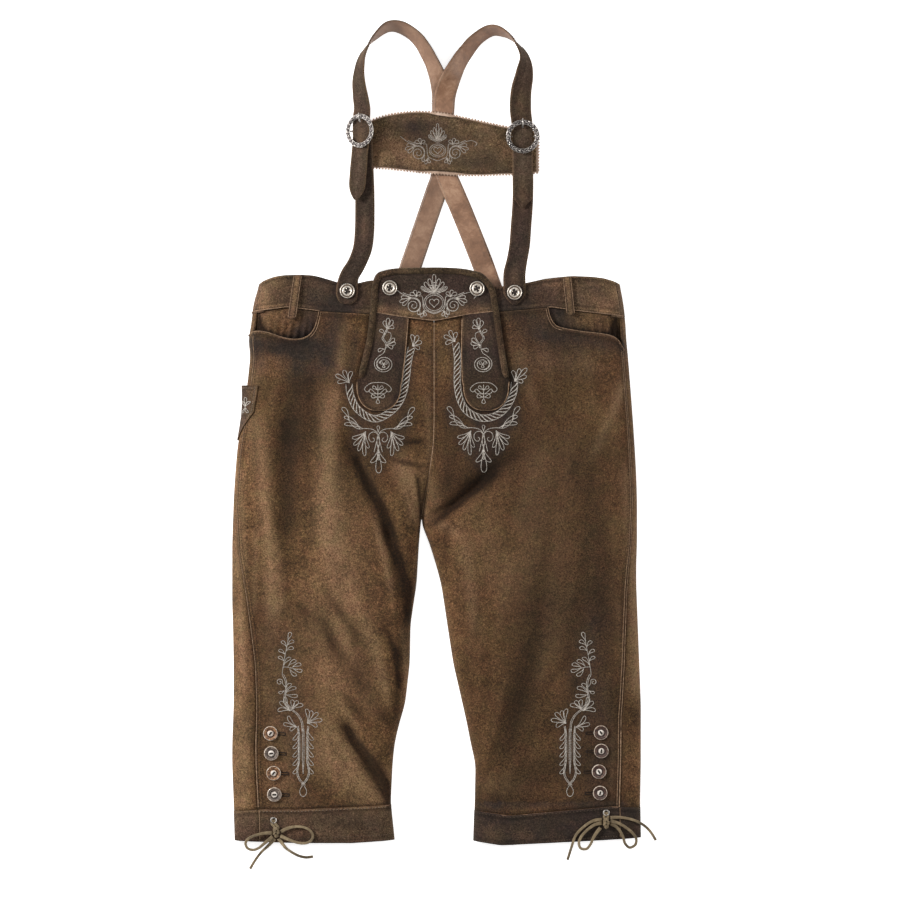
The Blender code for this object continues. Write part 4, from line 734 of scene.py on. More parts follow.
def patch_masks(points):
    """Strengths of stain with painted shade, of painted shade and of rubbing with painted highlight at
    points, from the tables.
    """
    x, y, z = points[..., 0], points[..., 1], points[..., 2]
    masks = {}
    # Folds add painted shade in their troughs, and lighter wear with painted highlight on their ridges.
    folds = (creased(x, y, FOLDS) * 0.6 + creased(x, y, CREASES)) * (z > 12) * (y < 158)
    for key, strokes in (("stain", STAINS_AND_SHADE), ("shade", SHADES + tuple(flap_shadows())), ("rubbed", RUBBED_AND_HIGHLIT)):
        clear = np.ones(x.shape)
        for stroke in strokes:
            clear *= 1 - creased(x, y, (stroke,))
        masks[key] = (1 - clear) * (y < 190) * (z > 8)
    # Near the embroidery the suede is darker and greyer, with painted shade beside the threads, and less
    # rubbed.
    near = halo(x, y) * (z > 12) * np.where(y < -200, 0.4, 1.0)
    cool = np.clip((y - 60) / 40, 0, 1) + near + (y < -484) + creased(x, y, GREY_STROKES)
    masks["stain"] = np.clip(masks["stain"] * (1 - 0.3 * near) + 0.5 * near, 0, 1)
    masks["cool"] = np.clip(cool, 0, 1)
    masks["shade"] = np.clip(masks["shade"] + np.clip(-folds - 0.5, 0, 4) * 0.13, 0, 1)
    masks["rubbed"] = np.clip((masks["rubbed"] + np.clip(folds - 0.3, 0, 4) * 0.15) * (1 - 0.75 * near), 0, 1)
    return masks


def shell(name, node, grid, wall, look, normals=None, turned=False, **extra):
    """A closed wall: its outer face on a grid of points, its inner face a wall's thickness in.

    extra holds strengths that are added to those of the tables, by mask.
    """
    grid = np.asarray(grid, float)
    normals = normals_of(grid) if normals is None else normals
    points = np.concatenate([grid.reshape(-1, 3), (grid - normals * wall).reshape(-1, 3)])
    faces = wall_faces(*grid.shape[:2], turned)
    slots = np.concatenate([np.zeros(len(faces[0])), np.ones(len(faces[1])), np.zeros(len(faces[2]))])
    masks = patch_masks(grid)
    for key, values in extra.items():
        masks[key] = np.clip(masks[key] + values, 0, 1)
    masks = {key: np.concatenate([v.ravel(), np.zeros(v.size)]) for key, v in masks.items()}
    obj = mesh_object(name, node, points, faces, [look, look], slots, masks)
    obj.data["flat_area"] = float(grid_area(grid))


def grid_area(grid):
    a, b = grid[1:, :-1] - grid[:-1, :-1], grid[:-1, 1:] - grid[:-1, :-1]
    return float(np.linalg.norm(np.cross(a, b), axis=-1).sum()) * MM * MM


class Bundle:
    """Many small shapes in one mesh."""

    def __init__(self):
        self.points, self.faces, self.count = [], [], 0

    def take(self, points, quads):
        self.points.append(points)
        self.faces.append(quads + self.count)
        self.count += len(points)

    def tube(self, path, normals, radius, sides=6, flat=1.0):
        """A round thread along a path; radius may be an array. Its caps are fans of quads and a triangle."""
        path = np.asarray(path, float)
        n = len(path)
        tangent = unit(np.gradient(path, axis=0))
        side = unit(np.cross(tangent, normals))
        up = np.cross(side, tangent)
        angle = np.arange(sides) * 2 * math.pi / sides
        radius = np.broadcast_to(radius, n)[:, None, None]
        cos, sin = np.cos(angle)[None, :, None], np.sin(angle)[None, :, None]
        ring = side[:, None, :] * cos + up[:, None, :] * sin * flat
        start = self.count
        self.take((path[:, None, :] + ring * radius).reshape(-1, 3), grid_faces(n, sides, 0, False, True))
        for base, flip in ((0, True), ((n - 1) * sides, False)):
            for k in range(1, sides - 1, 2):
                quad = [base, base + k, base + k + 1, base + min(k + 2, sides - 1)]
                self.faces.append(np.array([quad[::-1] if flip else quad]) + start)

    def strip(self, path, half_width, half_height, sides=16):
        """A flat thong with a shallow groove along its middle, lying with its width across the floor."""
        tangent = unit(np.gradient(path, axis=0))
        side = unit(np.cross(tangent, upright(len(path))))
        up = np.cross(side, tangent)
        turn = np.arange(sides) * 2 * math.pi / sides
        wide = np.broadcast_to(half_width, len(path))[:, None] * np.cos(turn)
        high = half_height * np.sin(turn) * (1 - 0.45 * bell(np.cos(turn), 0.4))
        points = path[:, None] + side[:, None] * wide[..., None] + up[:, None] * high[None, :, None]
        points[..., 2] = np.maximum(points[..., 2], 0.02)
        first, last = (np.repeat(path[k:k + 1, None], sides, 1) for k in (0, -1))
        grid = np.concatenate([first, points, last])
        self.take(grid.reshape(-1, 3), grid_faces(len(grid), sides, 0, False, True))

    def stitches(self, path, normals, pitch=3.4, length=2.3, radius=0.34, lift=0.05):
        """A line of separate stitches along a path, with their ends sunk in."""
        even = evenly(np.concatenate([path, normals], 1), pitch / 4)
        for k in range(0, len(even) - 4, 4):
            direction = unit(even[k + 2][:3] - even[k][:3])
            normal = unit(even[k + 1][3:])
            half = direction * length / 2
            centre = even[k + 1][:3] + normal * lift
            line = np.array((centre - half - normal * 0.25, centre - half * 0.55, centre + half * 0.55,
                             centre + half - normal * 0.25))
            self.tube(line, np.repeat(normal[None], 4, 0), np.array((0.4, 1, 1, 0.4)) * radius, 4)

    def moved(self, move):
        self.points = [move(p) for p in self.points]

    def make(self, name, look, node=None):
        quads = np.concatenate(self.faces)
        triangle = quads[:, 2] == quads[:, 3]
        faces = [quads[~triangle], quads[triangle][:, :3]]
        return mesh_object(name, node, np.concatenate(self.points), faces, [look])


def lathe(profile, steps=40):
    """(points, faces) of a turned shape from (radius, height) pairs, outside over the top to the middle."""
    profile = np.asarray(profile, float)
    angle = np.arange(steps) * 2 * math.pi / steps
    points = np.stack((profile[:, :1] * np.cos(angle), profile[:, :1] * np.sin(angle),
                       np.repeat(profile[:, 1:], steps, 1)), -1)
    return points.reshape(-1, 3), grid_faces(len(profile), steps, 0, True, True)


def oriented(points, place, normal):
    turn = np.array(Vector(normal).to_track_quat("Z", "Y").to_matrix())
    return np.asarray(points) @ turn.T + np.asarray(place)


# ------------------------------------------------------------------ trousers

def column_edges(side, columns, edge):
    y = np.full(columns(np.zeros(1)).shape, float(edge(0.0)))
    for _ in range(5):
        y = edge(Half(side, y).point(columns(y))[:, 0])
    return y


def panel(side, columns, count, top, bottom, lift=0.0, relief=None):
    """(points, normals, places round the contour, y) of a panel; columns(y) gives every column's place."""
    y_top, y_bottom = column_edges(side, columns, top), column_edges(side, columns, bottom)
    y = y_top + (y_bottom - y_top) * np.linspace(0, 1, count)[:, None]
    along = columns(y)
    points, normals = skin(side, along, y, lift)
    if relief is not None:
        points = points + normals * relief(along, y)[..., None]
    return points, normals, along, y


def joined(over, under):
    """Points of two panels that meet at their last columns, as one grid."""
    return np.concatenate([over, under[:, -2::-1]], 1)


def front_columns(side, count):
    shares = np.linspace(0, 1, count)

    def columns(y):
        start = side_seam(side, y) + SEAM_GAP / 2
        return start + (Half(side, y).top_length - SEAM_GAP - start) * shares
    return columns


def back_columns(side, count):
    """From the side seam over the outer fold and along the underside to the inner edge."""
    steps = (np.linspace(0, 1, 14), *(np.linspace(0, 1, n)[1:] for n in (9, count, 9)))
    share = np.concatenate(steps)
    stretch = np.repeat(np.arange(4), [len(s) for s in steps])
    fold = FOLD_HEIGHT * math.pi / 2 * 1.05

    def columns(y):
        seam = side_seam(side, y) - SEAM_GAP / 2
        far = Half(side, y).bottom_length - SEAM_GAP
        return np.select([stretch == 0, stretch == 1, stretch == 2],
                         [seam * (1 - share), -fold * share, -(fold + (far - 2 * fold) * share)],
                         -(far - fold * (1 - share)))
    return columns


def seam_pucker(side):
    def relief(along, y):
        from_seam = np.abs(along - side_seam(side, y))
        wave = np.sin(y * 2 * math.pi / 8.3 + 1.5 * np.sin(y / 31)) * (0.6 + 0.4 * np.sin(y / 17))
        return 0.28 * wave * bell(from_seam, 7) - 0.5 * bell(from_seam, 1.6)
    return relief


def waist_seam(x):
    return edge_y(WAIST_SEAM, x)


def waist_top(x):
    return edge_y(WAIST_TOP, x)


def below_waist(x):
    return waist_seam(x) - 2 * SEAM_GAP


def knee_seam(side, x):
    return edge_y(pick(side, LEFT_KNEE_SEAM, RIGHT_KNEE_SEAM), x)


def hem(side, x):
    return edge_y(pick(side, LEFT_HEM, RIGHT_HEM), x)


def front_top(side, x):
    pocket = pick(side, LEFT_POCKET, RIGHT_POCKET)
    beyond = x < pocket[-1][0] if side == LEFT else x > pocket[0][0]
    return np.where(beyond, np.minimum(below_waist(x), interp(pocket, x)), below_waist(x))


def make_panels():
    for side, word in SIDES:
        def bottom(x):
            return knee_seam(side, x) + SEAM_GAP

        points, normals, along, y = panel(side, front_columns(side, 104), 250, lambda x: front_top(side, x),
                                          bottom, relief=seam_pucker(side))
        seam, x = side_seam(side, y), points[..., 0]
        rim = front_top(side, x)
        shade = 0.5 * bell(y - knee_seam(side, x), 3.5)
        shade += 0.45 * bell(rim - y - 4.5, 2.6) + 0.3 * bell(along - (seam + 7.5), 1.6)
        shell(f"leg_front_{word}", f"front_{word}", points, LEATHER, SUEDE, normals, side == RIGHT,
              stain=0.4 * bell(along - seam, 3.0), shade=shade, rubbed=0.55 * bell(rim - y, 1.8))
        points, normals, along, y = panel(side, back_columns(side, 44), 150, below_waist, bottom,
                                          relief=seam_pucker(side))
        points[..., 2] = np.maximum(points[..., 2], 0)
        shell(f"leg_back_{word}", f"back_{word}", points, LEATHER, SUEDE, normals, side == LEFT,
              stain=0.35 * bell(along - side_seam(side, y), 3.5))


def make_waistband():
    for side, word in SIDES:
        points, normals, _, y = panel(side, front_columns(side, 96), 26, waist_top, waist_seam,
                                      WAISTBAND_LIFT)
        x = points[..., 0]
        down, up = waist_top(x) - y, y - waist_seam(x)
        points[..., 2] += 0.35 * ripple(x, y, 24, 11) - 0.5 * bell(down, 1.2) \
            + 0.45 * ripple(x, 0 * y, 17, 13) * bell(up, 12)
        stain = 0.3 * bell(down, 5) + pick(side, 0.8, 0.4) * bell(np.abs(x) - 112, 26)
        stain += 0.35 * ripple(x, y, 38, 15) + 0.55 * bell(x + 158, 24)
        shade = 0.75 * bell(up, 1.1) + 0.35 * bell(up - 7.5, 1.6)
        shade += 0.4 * bell(down - 4.6, 1.5)
        # Painted highlight along both raised edges, and lighter places towards the sides.
        rub = 0.55 * bell(np.abs(x) - 226, 20) + 0.45 * bell(up - 3.6, 1.9)
        rub += 0.5 * bell(down - 1.6, 1.5) + 0.35 * ripple(x, y, 52, 17)
        shell(f"band_front_{word}", f"waistband_front_{word}", points, BAND_LEATHER, BAND_SUEDE, normals,
              side == RIGHT, stain=stain, rubbed=rub, shade=shade)
    halves = []
    for side, corner in ((LEFT, -232), (RIGHT, 240)):
        def back_top(x):
            return waist_top(x) - BACK_DROP * np.clip(np.abs(np.asarray(x) - corner) / 40 - 0.6, 0, 1)

        points, normals, *_ = panel(side, back_columns(side, 40), 22, back_top, waist_seam, WAISTBAND_LIFT)
        points[..., 2] = np.maximum(points[..., 2], 0)
        halves.append((points[:, :-1], normals[:, :-1]))
    (left, left_normals), (right, right_normals) = halves
    points = np.concatenate([left, right[:, ::-1]], 1)
    normals = np.concatenate([left_normals, right_normals[:, ::-1]], 1)
    shell("band_back", "waistband_back", points, BAND_LEATHER, BAND_SUEDE, normals, True)


def make_knee_bands():
    for side, word in SIDES:
        def top(x):
            return knee_seam(side, x) - SEAM_GAP

        def bottom(x):
            return hem(side, x)

        over, under = (panel(side, columns(side, count), 22, top, bottom, KNEEBAND_LIFT)
                       for columns, count in ((front_columns, 90), (back_columns, 40)))
        points, normals = joined(over[0], under[0]), joined(over[1], under[1])
        uneven = 0.25 * ripple(points[..., 0], points[..., 1], 20, 21) * (normals[..., 2] > 0.3)
        points[..., 2] = np.maximum(points[..., 2] + uneven, 0)
        x, y = points[..., 0], points[..., 1]
        up, down = y - hem(side, x), knee_seam(side, x) - y
        stain = pick(side, 0.22, 0.75) + 0.2 * bell(up, 4) + 0.3 * ripple(x, y, 44, 25)
        shade = 0.55 * bell(down - 5.0, 1.5) + 0.35 * bell(up - 5, 1.6)
        # Painted highlight along the raised top edge, and lighter places besides.
        rub = 0.3 * ripple(x, y, 40, 8) + 0.5 * bell(down - 1.6, 1.6)
        rub += (0.5 * bell(x - 72, 16) + 0.35 * bell(x - 176, 12)) * (side == RIGHT)
        shell(f"knee_band_{word}", f"kneeband_{word}", points, BAND_LEATHER, BAND_SUEDE, normals,
              side == RIGHT, stain=stain, rubbed=rub, shade=shade)


def make_facings():
    depth, below_rim, thickness = LEATHER + LAYER_GAP + 0.5, 24.0, 1.2
    shares = np.linspace(0, 1, 110)
    for side, word, rim, inner, near_x, hole_x, hollow_x in (
            (LEFT, "left", LEFT_POCKET, -146, -166, 231.5, 232),
            (RIGHT, "right", RIGHT_POCKET, 138, 160, 234, 234)):
        def columns(y):
            start = side_seam(side, y) - 2.5
            end = Half(side, y).along_top(np.abs(inner - Half(side, y).outer))
            return start + (end - start) * shares

        def gathers(along, y):
            x = Half(side, y).point(along)[..., 0]
            down = np.clip((158 - y) / 34, 0, 1)
            fall = np.sin(along * 2 * math.pi / 9.5 + 1.3 * np.sin(along / 15)
                          + (150 - y) / 26 * np.sin(along / 9))
            hole = bell(np.abs(x) - hole_x, 2.2 + 6 * down)
            return -1.15 * down * (1 - fall) * (0.65 + 0.35 * np.sin(x / 17)) - (1.2 + 3.2 * hole) * down

        points, normals, along, y = panel(side, columns, 34, below_waist,
                                          lambda x: interp(rim, x) - below_rim, -depth, gathers)
        fall, x = gathers(along, y), points[..., 0]
        hollow = bell(np.abs(x) - hollow_x, 1.2 + np.clip(157 - y, 0, 30) / 3.6)
        hollow = hollow + 0.8 * bell(np.abs(x) - 245, 2.6) * (y < 146)
        shade = np.clip(-fall * 0.2 - 0.1, 0, 0.6) + 0.95 * bell(y - interp(rim, x), 4.5)
        shell(f"pocket_lining_{word}", f"pocket_facing_{word}", points, thickness, SUEDE, normals,
              side == RIGHT, stain=0.1 + 0.55 * bell(x - near_x, 15) + 0.25 * ripple(x, y, 30, 35),
              shade=shade + 0.85 * hollow + 0.4 * bell(waist_seam(x) - y, 1.6),
              rubbed=0.3 * np.clip(fall + 1.6, 0, 1))


def on_flap(x, y, lift):
    return on_front(x, y, lift, False)


def flap_side(y, column):
    return interp(FLAP_SIDES, y, column)


def tongue_edge(y, column):
    """x of a tongue's edge: straight rows above, an even curve round its end."""
    other = {1: 2, 2: 1, 3: 4, 4: 3}[column]
    level, end = 60.0, TONGUE_SIDES[0][0]
    a, b = interp(TONGUE_SIDES, level, column), interp(TONGUE_SIDES, level, other)
    share = np.clip((level - np.asarray(y, float)) / (level - end), 0, 1)
    curved = (a + b) / 2 + (a - b) / 2 * (0.16 + 0.84 * np.sqrt(np.maximum(0, 1 - share ** 2.3)))
    return np.where(np.asarray(y) < level, curved, interp(TONGUE_SIDES, y, column))


def down_and_across(rows, columns, first=0):
    return np.linspace(0, 1, rows)[:, None], np.linspace(first, 1, columns)[None, :]


def make_flap():
    inset = WELT_WIDTH - 1.5
    t, share = down_and_across(44, 100)
    left, right = flap_side(180, 1) + inset, flap_side(180, 2) - inset
    x = left + (right - left) * share
    y_top, y_bottom = edge_y(FLAP_TOP, x) - inset, edge_y(FLAP_SEAM, x)
    y = y_top + (y_bottom - y_top) * t
    left, right = flap_side(y, 1) + inset, flap_side(y, 2) - inset
    x = left + (right - left) * share
    up, near = y - y_bottom, np.minimum(share, 1 - share) * (right - left)
    points, normals = on_flap(x, y, APPLIED_LIFT + 0.3 * ripple(x, y, 26, 31) - 0.6 * bell(up, 1.0))
    shell("flap_top", "flap_band", points, LEATHER, DARK_SUEDE, normals,
          stain=0.22 + 0.2 * bell(y - 196, 16) - 0.4 * bell(up, 10),
          rubbed=(0.5 + 0.3 * ripple(x, y, 30, 33)) * bell(up - 3, 8),
          shade=0.35 * bell(near, 3) + 0.45 * bell(up, 1.3) + 0.35 * bell(y_top - y, 3))
    for side, word in SIDES:
        t, share = down_and_across(90, 40)
        t = np.sin(t * math.pi / 2)
        y_top = edge_y(FLAP_SEAM, 60 * side) - 0.4
        y = np.repeat(y_top + (TONGUE_SIDES[0][0] - y_top) * t, share.size, 1)
        outer = tongue_edge(y, pick(side, 1, 4)) - side * inset * (y > FLAP_END)
        inner = tongue_edge(y, pick(side, 2, 3))
        x = outer + (inner - outer) * share
        y[0] = edge_y(FLAP_SEAM, x[0]) - 0.4
        near = np.minimum(share, 1 - share) * np.abs(inner - outer)
        points, normals = on_flap(x, y, APPLIED_LIFT + 0.25 * ripple(x, y, 22, 41) - 0.6 * bell(near, 1.0))
        shell(f"flap_tongue_{word}", f"tongue_{word}", points, LEATHER, DARK_SUEDE, normals, side == RIGHT,
              stain=0.18 + 0.25 * bell(y - 104, 40), shade=0.35 * bell(near - 4.6, 1.5),
              rubbed=0.55 * bell((share - 1) * (outer - inner), 4) + 0.4 * bell(y - 34, 9)
              + 0.3 * bell(y - 128, 14))
    make_welt()


def welt_route():
    half = WELT_WIDTH / 2
    left = [(flap_side(y, 1) + half, y) for y in (FLAP_END + 1, 80, 95, 122, 150, 172, 188)]
    over = [(x, float(edge_y(FLAP_TOP, x)) - half) for x in (-76, -68, -52, -22, 5, 32, 50, 60)]
    right = [(flap_side(y, 2) - half, y) for y in (187, 172, 150, 122, 95, 80, FLAP_END + 1)]
    return smooth_path(left + over + right, 4)


def make_welt():
    step, height, droop = 2.0, 1.7, 1.3
    route = evenly(welt_route(), step)
    across, place = beside(route), np.arange(len(route))
    taper = np.clip(np.minimum(place, place[::-1]) * step / 10 + 0.35, 0, 1)
    grid, shares = [], np.linspace(-1, 1, 11)
    for share in shares:
        at = route + across * (WELT_WIDTH / 2 * share * taper)[:, None]
        round_up = (height * math.sqrt(max(0.0, 1 - share * share)) - droop * abs(share) ** 6) * taper
        lift = APPLIED_LIFT + round_up + 0.12 * np.sin(place * step / 5.5) * (1 - abs(share))
        grid.append(on_flap(at[:, 0], at[:, 1], lift)[0])
    # Darker towards the top of the flap, with painted shade along both sides of the roll.
    shell("flap_binding", "flap_welt", np.stack(grid, 1), 1.4, WELT,
          stain=0.75 * bell(route[:, 1:2] - 212, 10) + 0.5 * bell(np.abs(shares[None, :]) - 1, 0.22))


def belt_loop_lift(t):
    return APPLIED_LIFT + 1.6 * np.sin(math.pi * t)


def make_belt_loops():
    for name, x_top, y_top, x_bottom, y_bottom in BELT_LOOPS:
        t, share = down_and_across(34, 9, -1)
        x = x_top + (x_bottom - x_top) * t + share * BELT_LOOP_WIDTH / 2
        y = np.minimum(y_top + (y_bottom - y_top) * t, waist_top(x) - 1)
        points, normals = on_flap(x, y, belt_loop_lift(t) + 0.5 * (1 - share ** 4) - 0.3)
        edge = 1 - np.abs(share)
        shell(f"{name}_strip", name, points, LEATHER, BAND_SUEDE, normals,
              stain=0.2 * bell(edge, 0.25), rubbed=0.65 * bell(1 - edge, 0.6))


def knife_point(t, share):
    """(points, normals) of the knife pocket: t down the fold, share round it."""
    t, share = np.broadcast_arrays(t, share)
    y = KNIFE_POCKET_TOP + (KNIFE_POCKET_TIP - KNIFE_POCKET_TOP) * t
    narrow = (y - KNIFE_POCKET_TIP) / (KNIFE_POCKET_STRAIGHT - KNIFE_POCKET_TIP)
    reach = KNIFE_POCKET_REACH * np.minimum(1.0, 0.12 + 0.88 * np.maximum(narrow, 0.0))
    low = -FOLD_HEIGHT * math.pi / 2 * 0.30
    bulge = KNIFE_POCKET_BULGE * np.sin(math.pi * np.minimum(share * 1.15, 1.0)) ** 0.8
    bulge = np.nan_to_num(bulge) * np.maximum(0.0, 1 - 1.7 * t) ** 1.3
    along = low + (reach - low) * share
    half = Half(LEFT, y)
    across = half.point(along + 1) - half.point(along - 1)
    normal = unit(np.cross(across, np.broadcast_to((0, -1.0, 0), across.shape))) * LEFT
    return half.point(along) + normal * (LAYER_GAP + LEATHER + bulge)[..., None], normal


def make_knife_pocket():
    t, share = down_and_across(46, 30)
    points, normals = knife_point(t, share)
    shell("knife_pocket_leather", "knife_pocket", points, LEATHER, DARK_SUEDE, normals,
          stain=0.15, rubbed=0.5 * bell(np.minimum(share, 1 - share), 0.05))


# ------------------------------------------------------------------ braces

def strap_path(stations, mirrored, step):
    rows = []
    for x, y, z, roll, width in stations:
        if z is None:
            z = on_flap(x, y, WAISTBAND_LIFT + LAYER_GAP + 0.3 + STRAP_LEATHER / 2)[0][2]
        rows.append((x, y, z, -roll if mirrored else roll, width))
    path = smooth_path(rows, 8)
    roll = np.radians(path[:, 3])
    resting = path[:, 4] / 2 * np.abs(np.sin(roll)) + STRAP_LEATHER / 2 * np.abs(np.cos(roll))
    path[:, 2] = np.maximum(path[:, 2], resting + 0.02)
    path = evenly(path, step)
    along = unit(np.gradient(path[:, :3], axis=0))
    outward = unit(np.cross(along, upright(len(along))))
    roll = np.radians(path[:, 3:4])
    across = outward * np.cos(roll) - unit(np.cross(outward, along)) * np.sin(roll)
    return path[:, :3], path[:, 4] / 2, across, unit(np.cross(across, along))


def make_strap(name, node, stations, mirrored, seed, look, end=((0, 6, 14), (2.5, 9, 14.5)), darkened=0.0):
    """A strap with its smooth backing below; end holds distances from its tip and half widths there."""
    step, shares = 2.6, np.linspace(-1, 1, 11)
    path, half, across, normal = strap_path(stations, mirrored, step)
    half = np.minimum(half, np.interp(np.arange(len(path))[::-1] * step, *end))
    distance = np.arange(len(path)) * step
    wave = 0.25 * np.sin(distance / 7.1 + seed) + 0.2 * np.sin(distance / 3.7 + 2 * seed)
    faces_of_strap = []
    for face in (1, -1):
        lines = []
        for share in shares:
            thick = STRAP_LEATHER / 2 * (1 - 0.45 * abs(share) ** 8)
            uneven = wave * (share ** 3) * 0.5
            lines.append(path + across * (half * share)[:, None] + normal * (face * thick + uneven)[:, None])
        faces_of_strap.append(np.stack(lines, 1).reshape(-1, 3))
    points = np.concatenate(faces_of_strap)
    points[:, 2] = np.maximum(points[:, 2], 0.01)
    rows, columns = len(path), len(shares)
    faces = wall_faces(rows, columns)
    slots = np.concatenate([np.zeros(len(faces[0])), np.ones(len(faces[1])), np.ones(len(faces[2]))])
    edge = np.tile(bell(1 - np.abs(shares), 0.12), rows)
    worn = 0.5 * bell(np.sin(distance / 37 + seed), 0.5)
    middle = np.tile(bell(shares, 0.5), rows)
    rub = np.repeat(worn, columns) * 0.5 * middle + edge * 0.45
    masks = {"stain": np.concatenate([edge * 0.25 + darkened, (1 - middle) * (1 - edge) * 0.35]),
             "rubbed": np.concatenate([0 * rub, rub])}
    obj = mesh_object(name, node, points, faces, [TAN, look], slots, masks)
    widths = half[:-1] * 2 * np.linalg.norm(np.diff(path, axis=0), axis=1)
    obj.data["flat_area"] = float(widths.sum()) * MM * MM
    for face, bundle in ((1, STITCH_LIGHT), (-1, STITCH_DULL)):
        for share in (-1, 1):
            inset = half - 2.4
            line = path + across * (inset * share)[:, None] + normal * face * (STRAP_LEATHER / 2 - 0.05)
            shown = (inset > 4) & (line[:, 2] >= 0.4)
            if shown.any():
                bundle.stitches(line[shown], (normal * face)[shown], 2.8, 1.9)


def bar_value(x, column):
    return sum(interp(CHEST_BAR, np.asarray(x) + offset, column) for offset in (-8, -4, 0, 4, 8)) / 5


def bar_front_height(x):
    return bar_value(x, 3) + 2 * BAR_LEATHER + BAR_GAP


def bar_uneven(x, y):
    return 0.25 * ripple(x, y, 30, 61)


def spot(x, y, at_x, at_y, wide, high):
    return np.exp(-((x - at_x) / wide) ** 2 - ((y - at_y) / high) ** 2)


def make_pinked_backing(start, end):
    per_tooth, teeth = 6, int((end - start) / TOOTH_WIDTH)
    x = np.linspace(start, end, teeth * per_tooth + 1)[None, :]
    tooth = 1 - np.abs(np.arange(x.size) % per_tooth / (per_tooth / 2) - 1) - 0.5
    reach = PINKED_MARGIN - 0.7 + TOOTH_DEPTH * tooth[None, :]
    top, bottom = bar_value(x, 1), bar_value(x, 2)
    # From 0 to 1 a level lies in the upper teeth, from 9 to 10 in the lower ones.
    levels = np.concatenate([[0, 0.4, 0.8], np.linspace(1, 9, 14), [9.2, 9.6, 10]])[:, None]
    y = np.where(levels < 1, top + reach * (1 - levels),
                 np.where(levels > 9, bottom - reach * (levels - 9), top + (bottom - top) * (levels - 1) / 8))
    curled = np.clip(1 - levels, 0, 1) + np.clip(levels - 9, 0, 1)
    z = bar_value(x, 3) + BAR_LEATHER + np.clip(0.5 * ripple(x, y, 14, 51), -0.05, 0.3) * curled
    grid = np.stack(np.broadcast_arrays(x, y, z), -1)
    shell("chest_bar_pinked", "chest_bar_backing", grid, BAR_LEATHER, BACKING)


def make_side_teeth(end):
    side_teeth = Bundle()
    corners = np.array([(x, y, z) for z in (0, 1.2) for x, y in ((-1, -2), (-1, 2), (2.0, 0))])
    prism = np.array(((0, 1, 2, 2), (5, 4, 3, 3), (0, 3, 4, 1), (1, 4, 5, 2), (2, 5, 3, 0)))
    for y_at in np.arange(bar_value(end, 2) + 1.5, bar_value(end, 1) - 1, TOOTH_WIDTH):
        side_teeth.take(corners + (end, y_at, bar_value(end, 3) + 0.05), prism)
    side_teeth.make("chest_bar_end_teeth", BACKING, "chest_bar_backing")


def make_chest_bar():
    start, end = CHEST_BAR[0][0], CHEST_BAR[-1][0]
    make_pinked_backing(start, end)
    x, t = np.linspace(start, end - 3, 130)[None, :], np.linspace(0, 1, 40)[:, None]
    top = bar_value(x, 1) + 0.2 - 1.7 * np.exp(-((x - 8) / 15) ** 4) + 0.2 * ripple(x, 0 * x, 19, 69)
    bottom = bar_value(x, 2) - 0.4 + 1.9 * np.exp(-((x - 10) / 27) ** 4)
    y = top + (bottom - top) * t
    near = np.minimum(t, 1 - t) * (top - bottom)
    z = bar_front_height(x) + bar_uneven(x, y) - 0.7 * bell(near, 1.1)
    stain = 0.9 * spot(x, y, -28, 401, 26, 12) + 0.6 * spot(x, y, 56, 355, 40, 13)
    stain += 0.68 * spot(x, y, 0, 382, 42, 17) + 0.3 * ripple(x, y, 34, 63)
    rub = 0.2 * bell(y - 372, 20) + 0.4 * ripple(x, y, 40, 65)
    grid = np.stack(np.broadcast_arrays(x, y, z), -1)
    shell("chest_bar_suede", "chest_bar_front", grid, BAR_LEATHER, CHEST_SUEDE,
          stain=stain + 0.25 * bell(near, 2.2), rubbed=rub + 0.5 * spot(x, y, -62, 366, 20, 14))
    make_side_teeth(end)
    x = np.linspace(start + 2, end - 5, 160)
    for edge, inward in ((1, -2.6), (2, 2.6)):
        line = np.stack((x, bar_value(x, edge) + inward, bar_front_height(x)), -1)
        STITCH_DARK.stitches(line, upright(len(x)), radius=0.35, lift=0.0)


# ------------------------------------------------------------------ metal, horn and laces

def torus_points(radius, wire_out, wire_up, steps, sides, rise_by=0.0, waves=0):
    """(points, faces) of a ring of oval wire, which swells in a number of waves round it."""
    turn = np.arange(steps) * 2 * math.pi / steps
    angle = np.arange(sides) * 2 * math.pi / sides
    grow = 1 + 0.35 * np.sin(turn * waves)
    r = radius + wire_out * np.cos(angle)[None, :] * grow[:, None]
    z = rise_by + wire_up * np.sin(angle)[None, :] * grow[:, None]
    points = np.stack((r * np.cos(turn)[:, None], r * np.sin(turn)[:, None], z), -1)
    i, j = np.meshgrid(np.arange(steps), np.arange(sides), indexing="ij")
    a, b = i * sides + j, ((i + 1) % steps) * sides + j
    c, d = ((i + 1) % steps) * sides + (j + 1) % sides, i * sides + (j + 1) % sides
    return points.reshape(-1, 3), np.stack((a, b, c, d), -1).reshape(-1, 4)


def leaf_blob(centre, direction, length, width, height):
    """A small pointed leaf with a raised rib, as (points, quads)."""
    up = np.array((0, 0, 1.0))
    s = np.linspace(0, 1, 7)
    half = width / 2 * np.sin(math.pi * s ** 0.8) + 0.12
    side = np.cross(up, direction)
    rib = height * (0.45 + 0.55 * np.sin(math.pi * s))
    spine = centre + direction * (s - 0.5)[:, None] * length
    lines = [spine - side * half[:, None], spine - side * half[:, None] * 0.5 + up * (rib * 0.62)[:, None],
             spine + up * rib[:, None], spine + side * half[:, None] * 0.5 + up * (rib * 0.62)[:, None],
             spine + side * half[:, None], spine - up * 0.35]
    points = np.stack(lines, 1)
    return points.reshape(-1, 3), grid_faces(len(s), len(lines), 0, True, True)


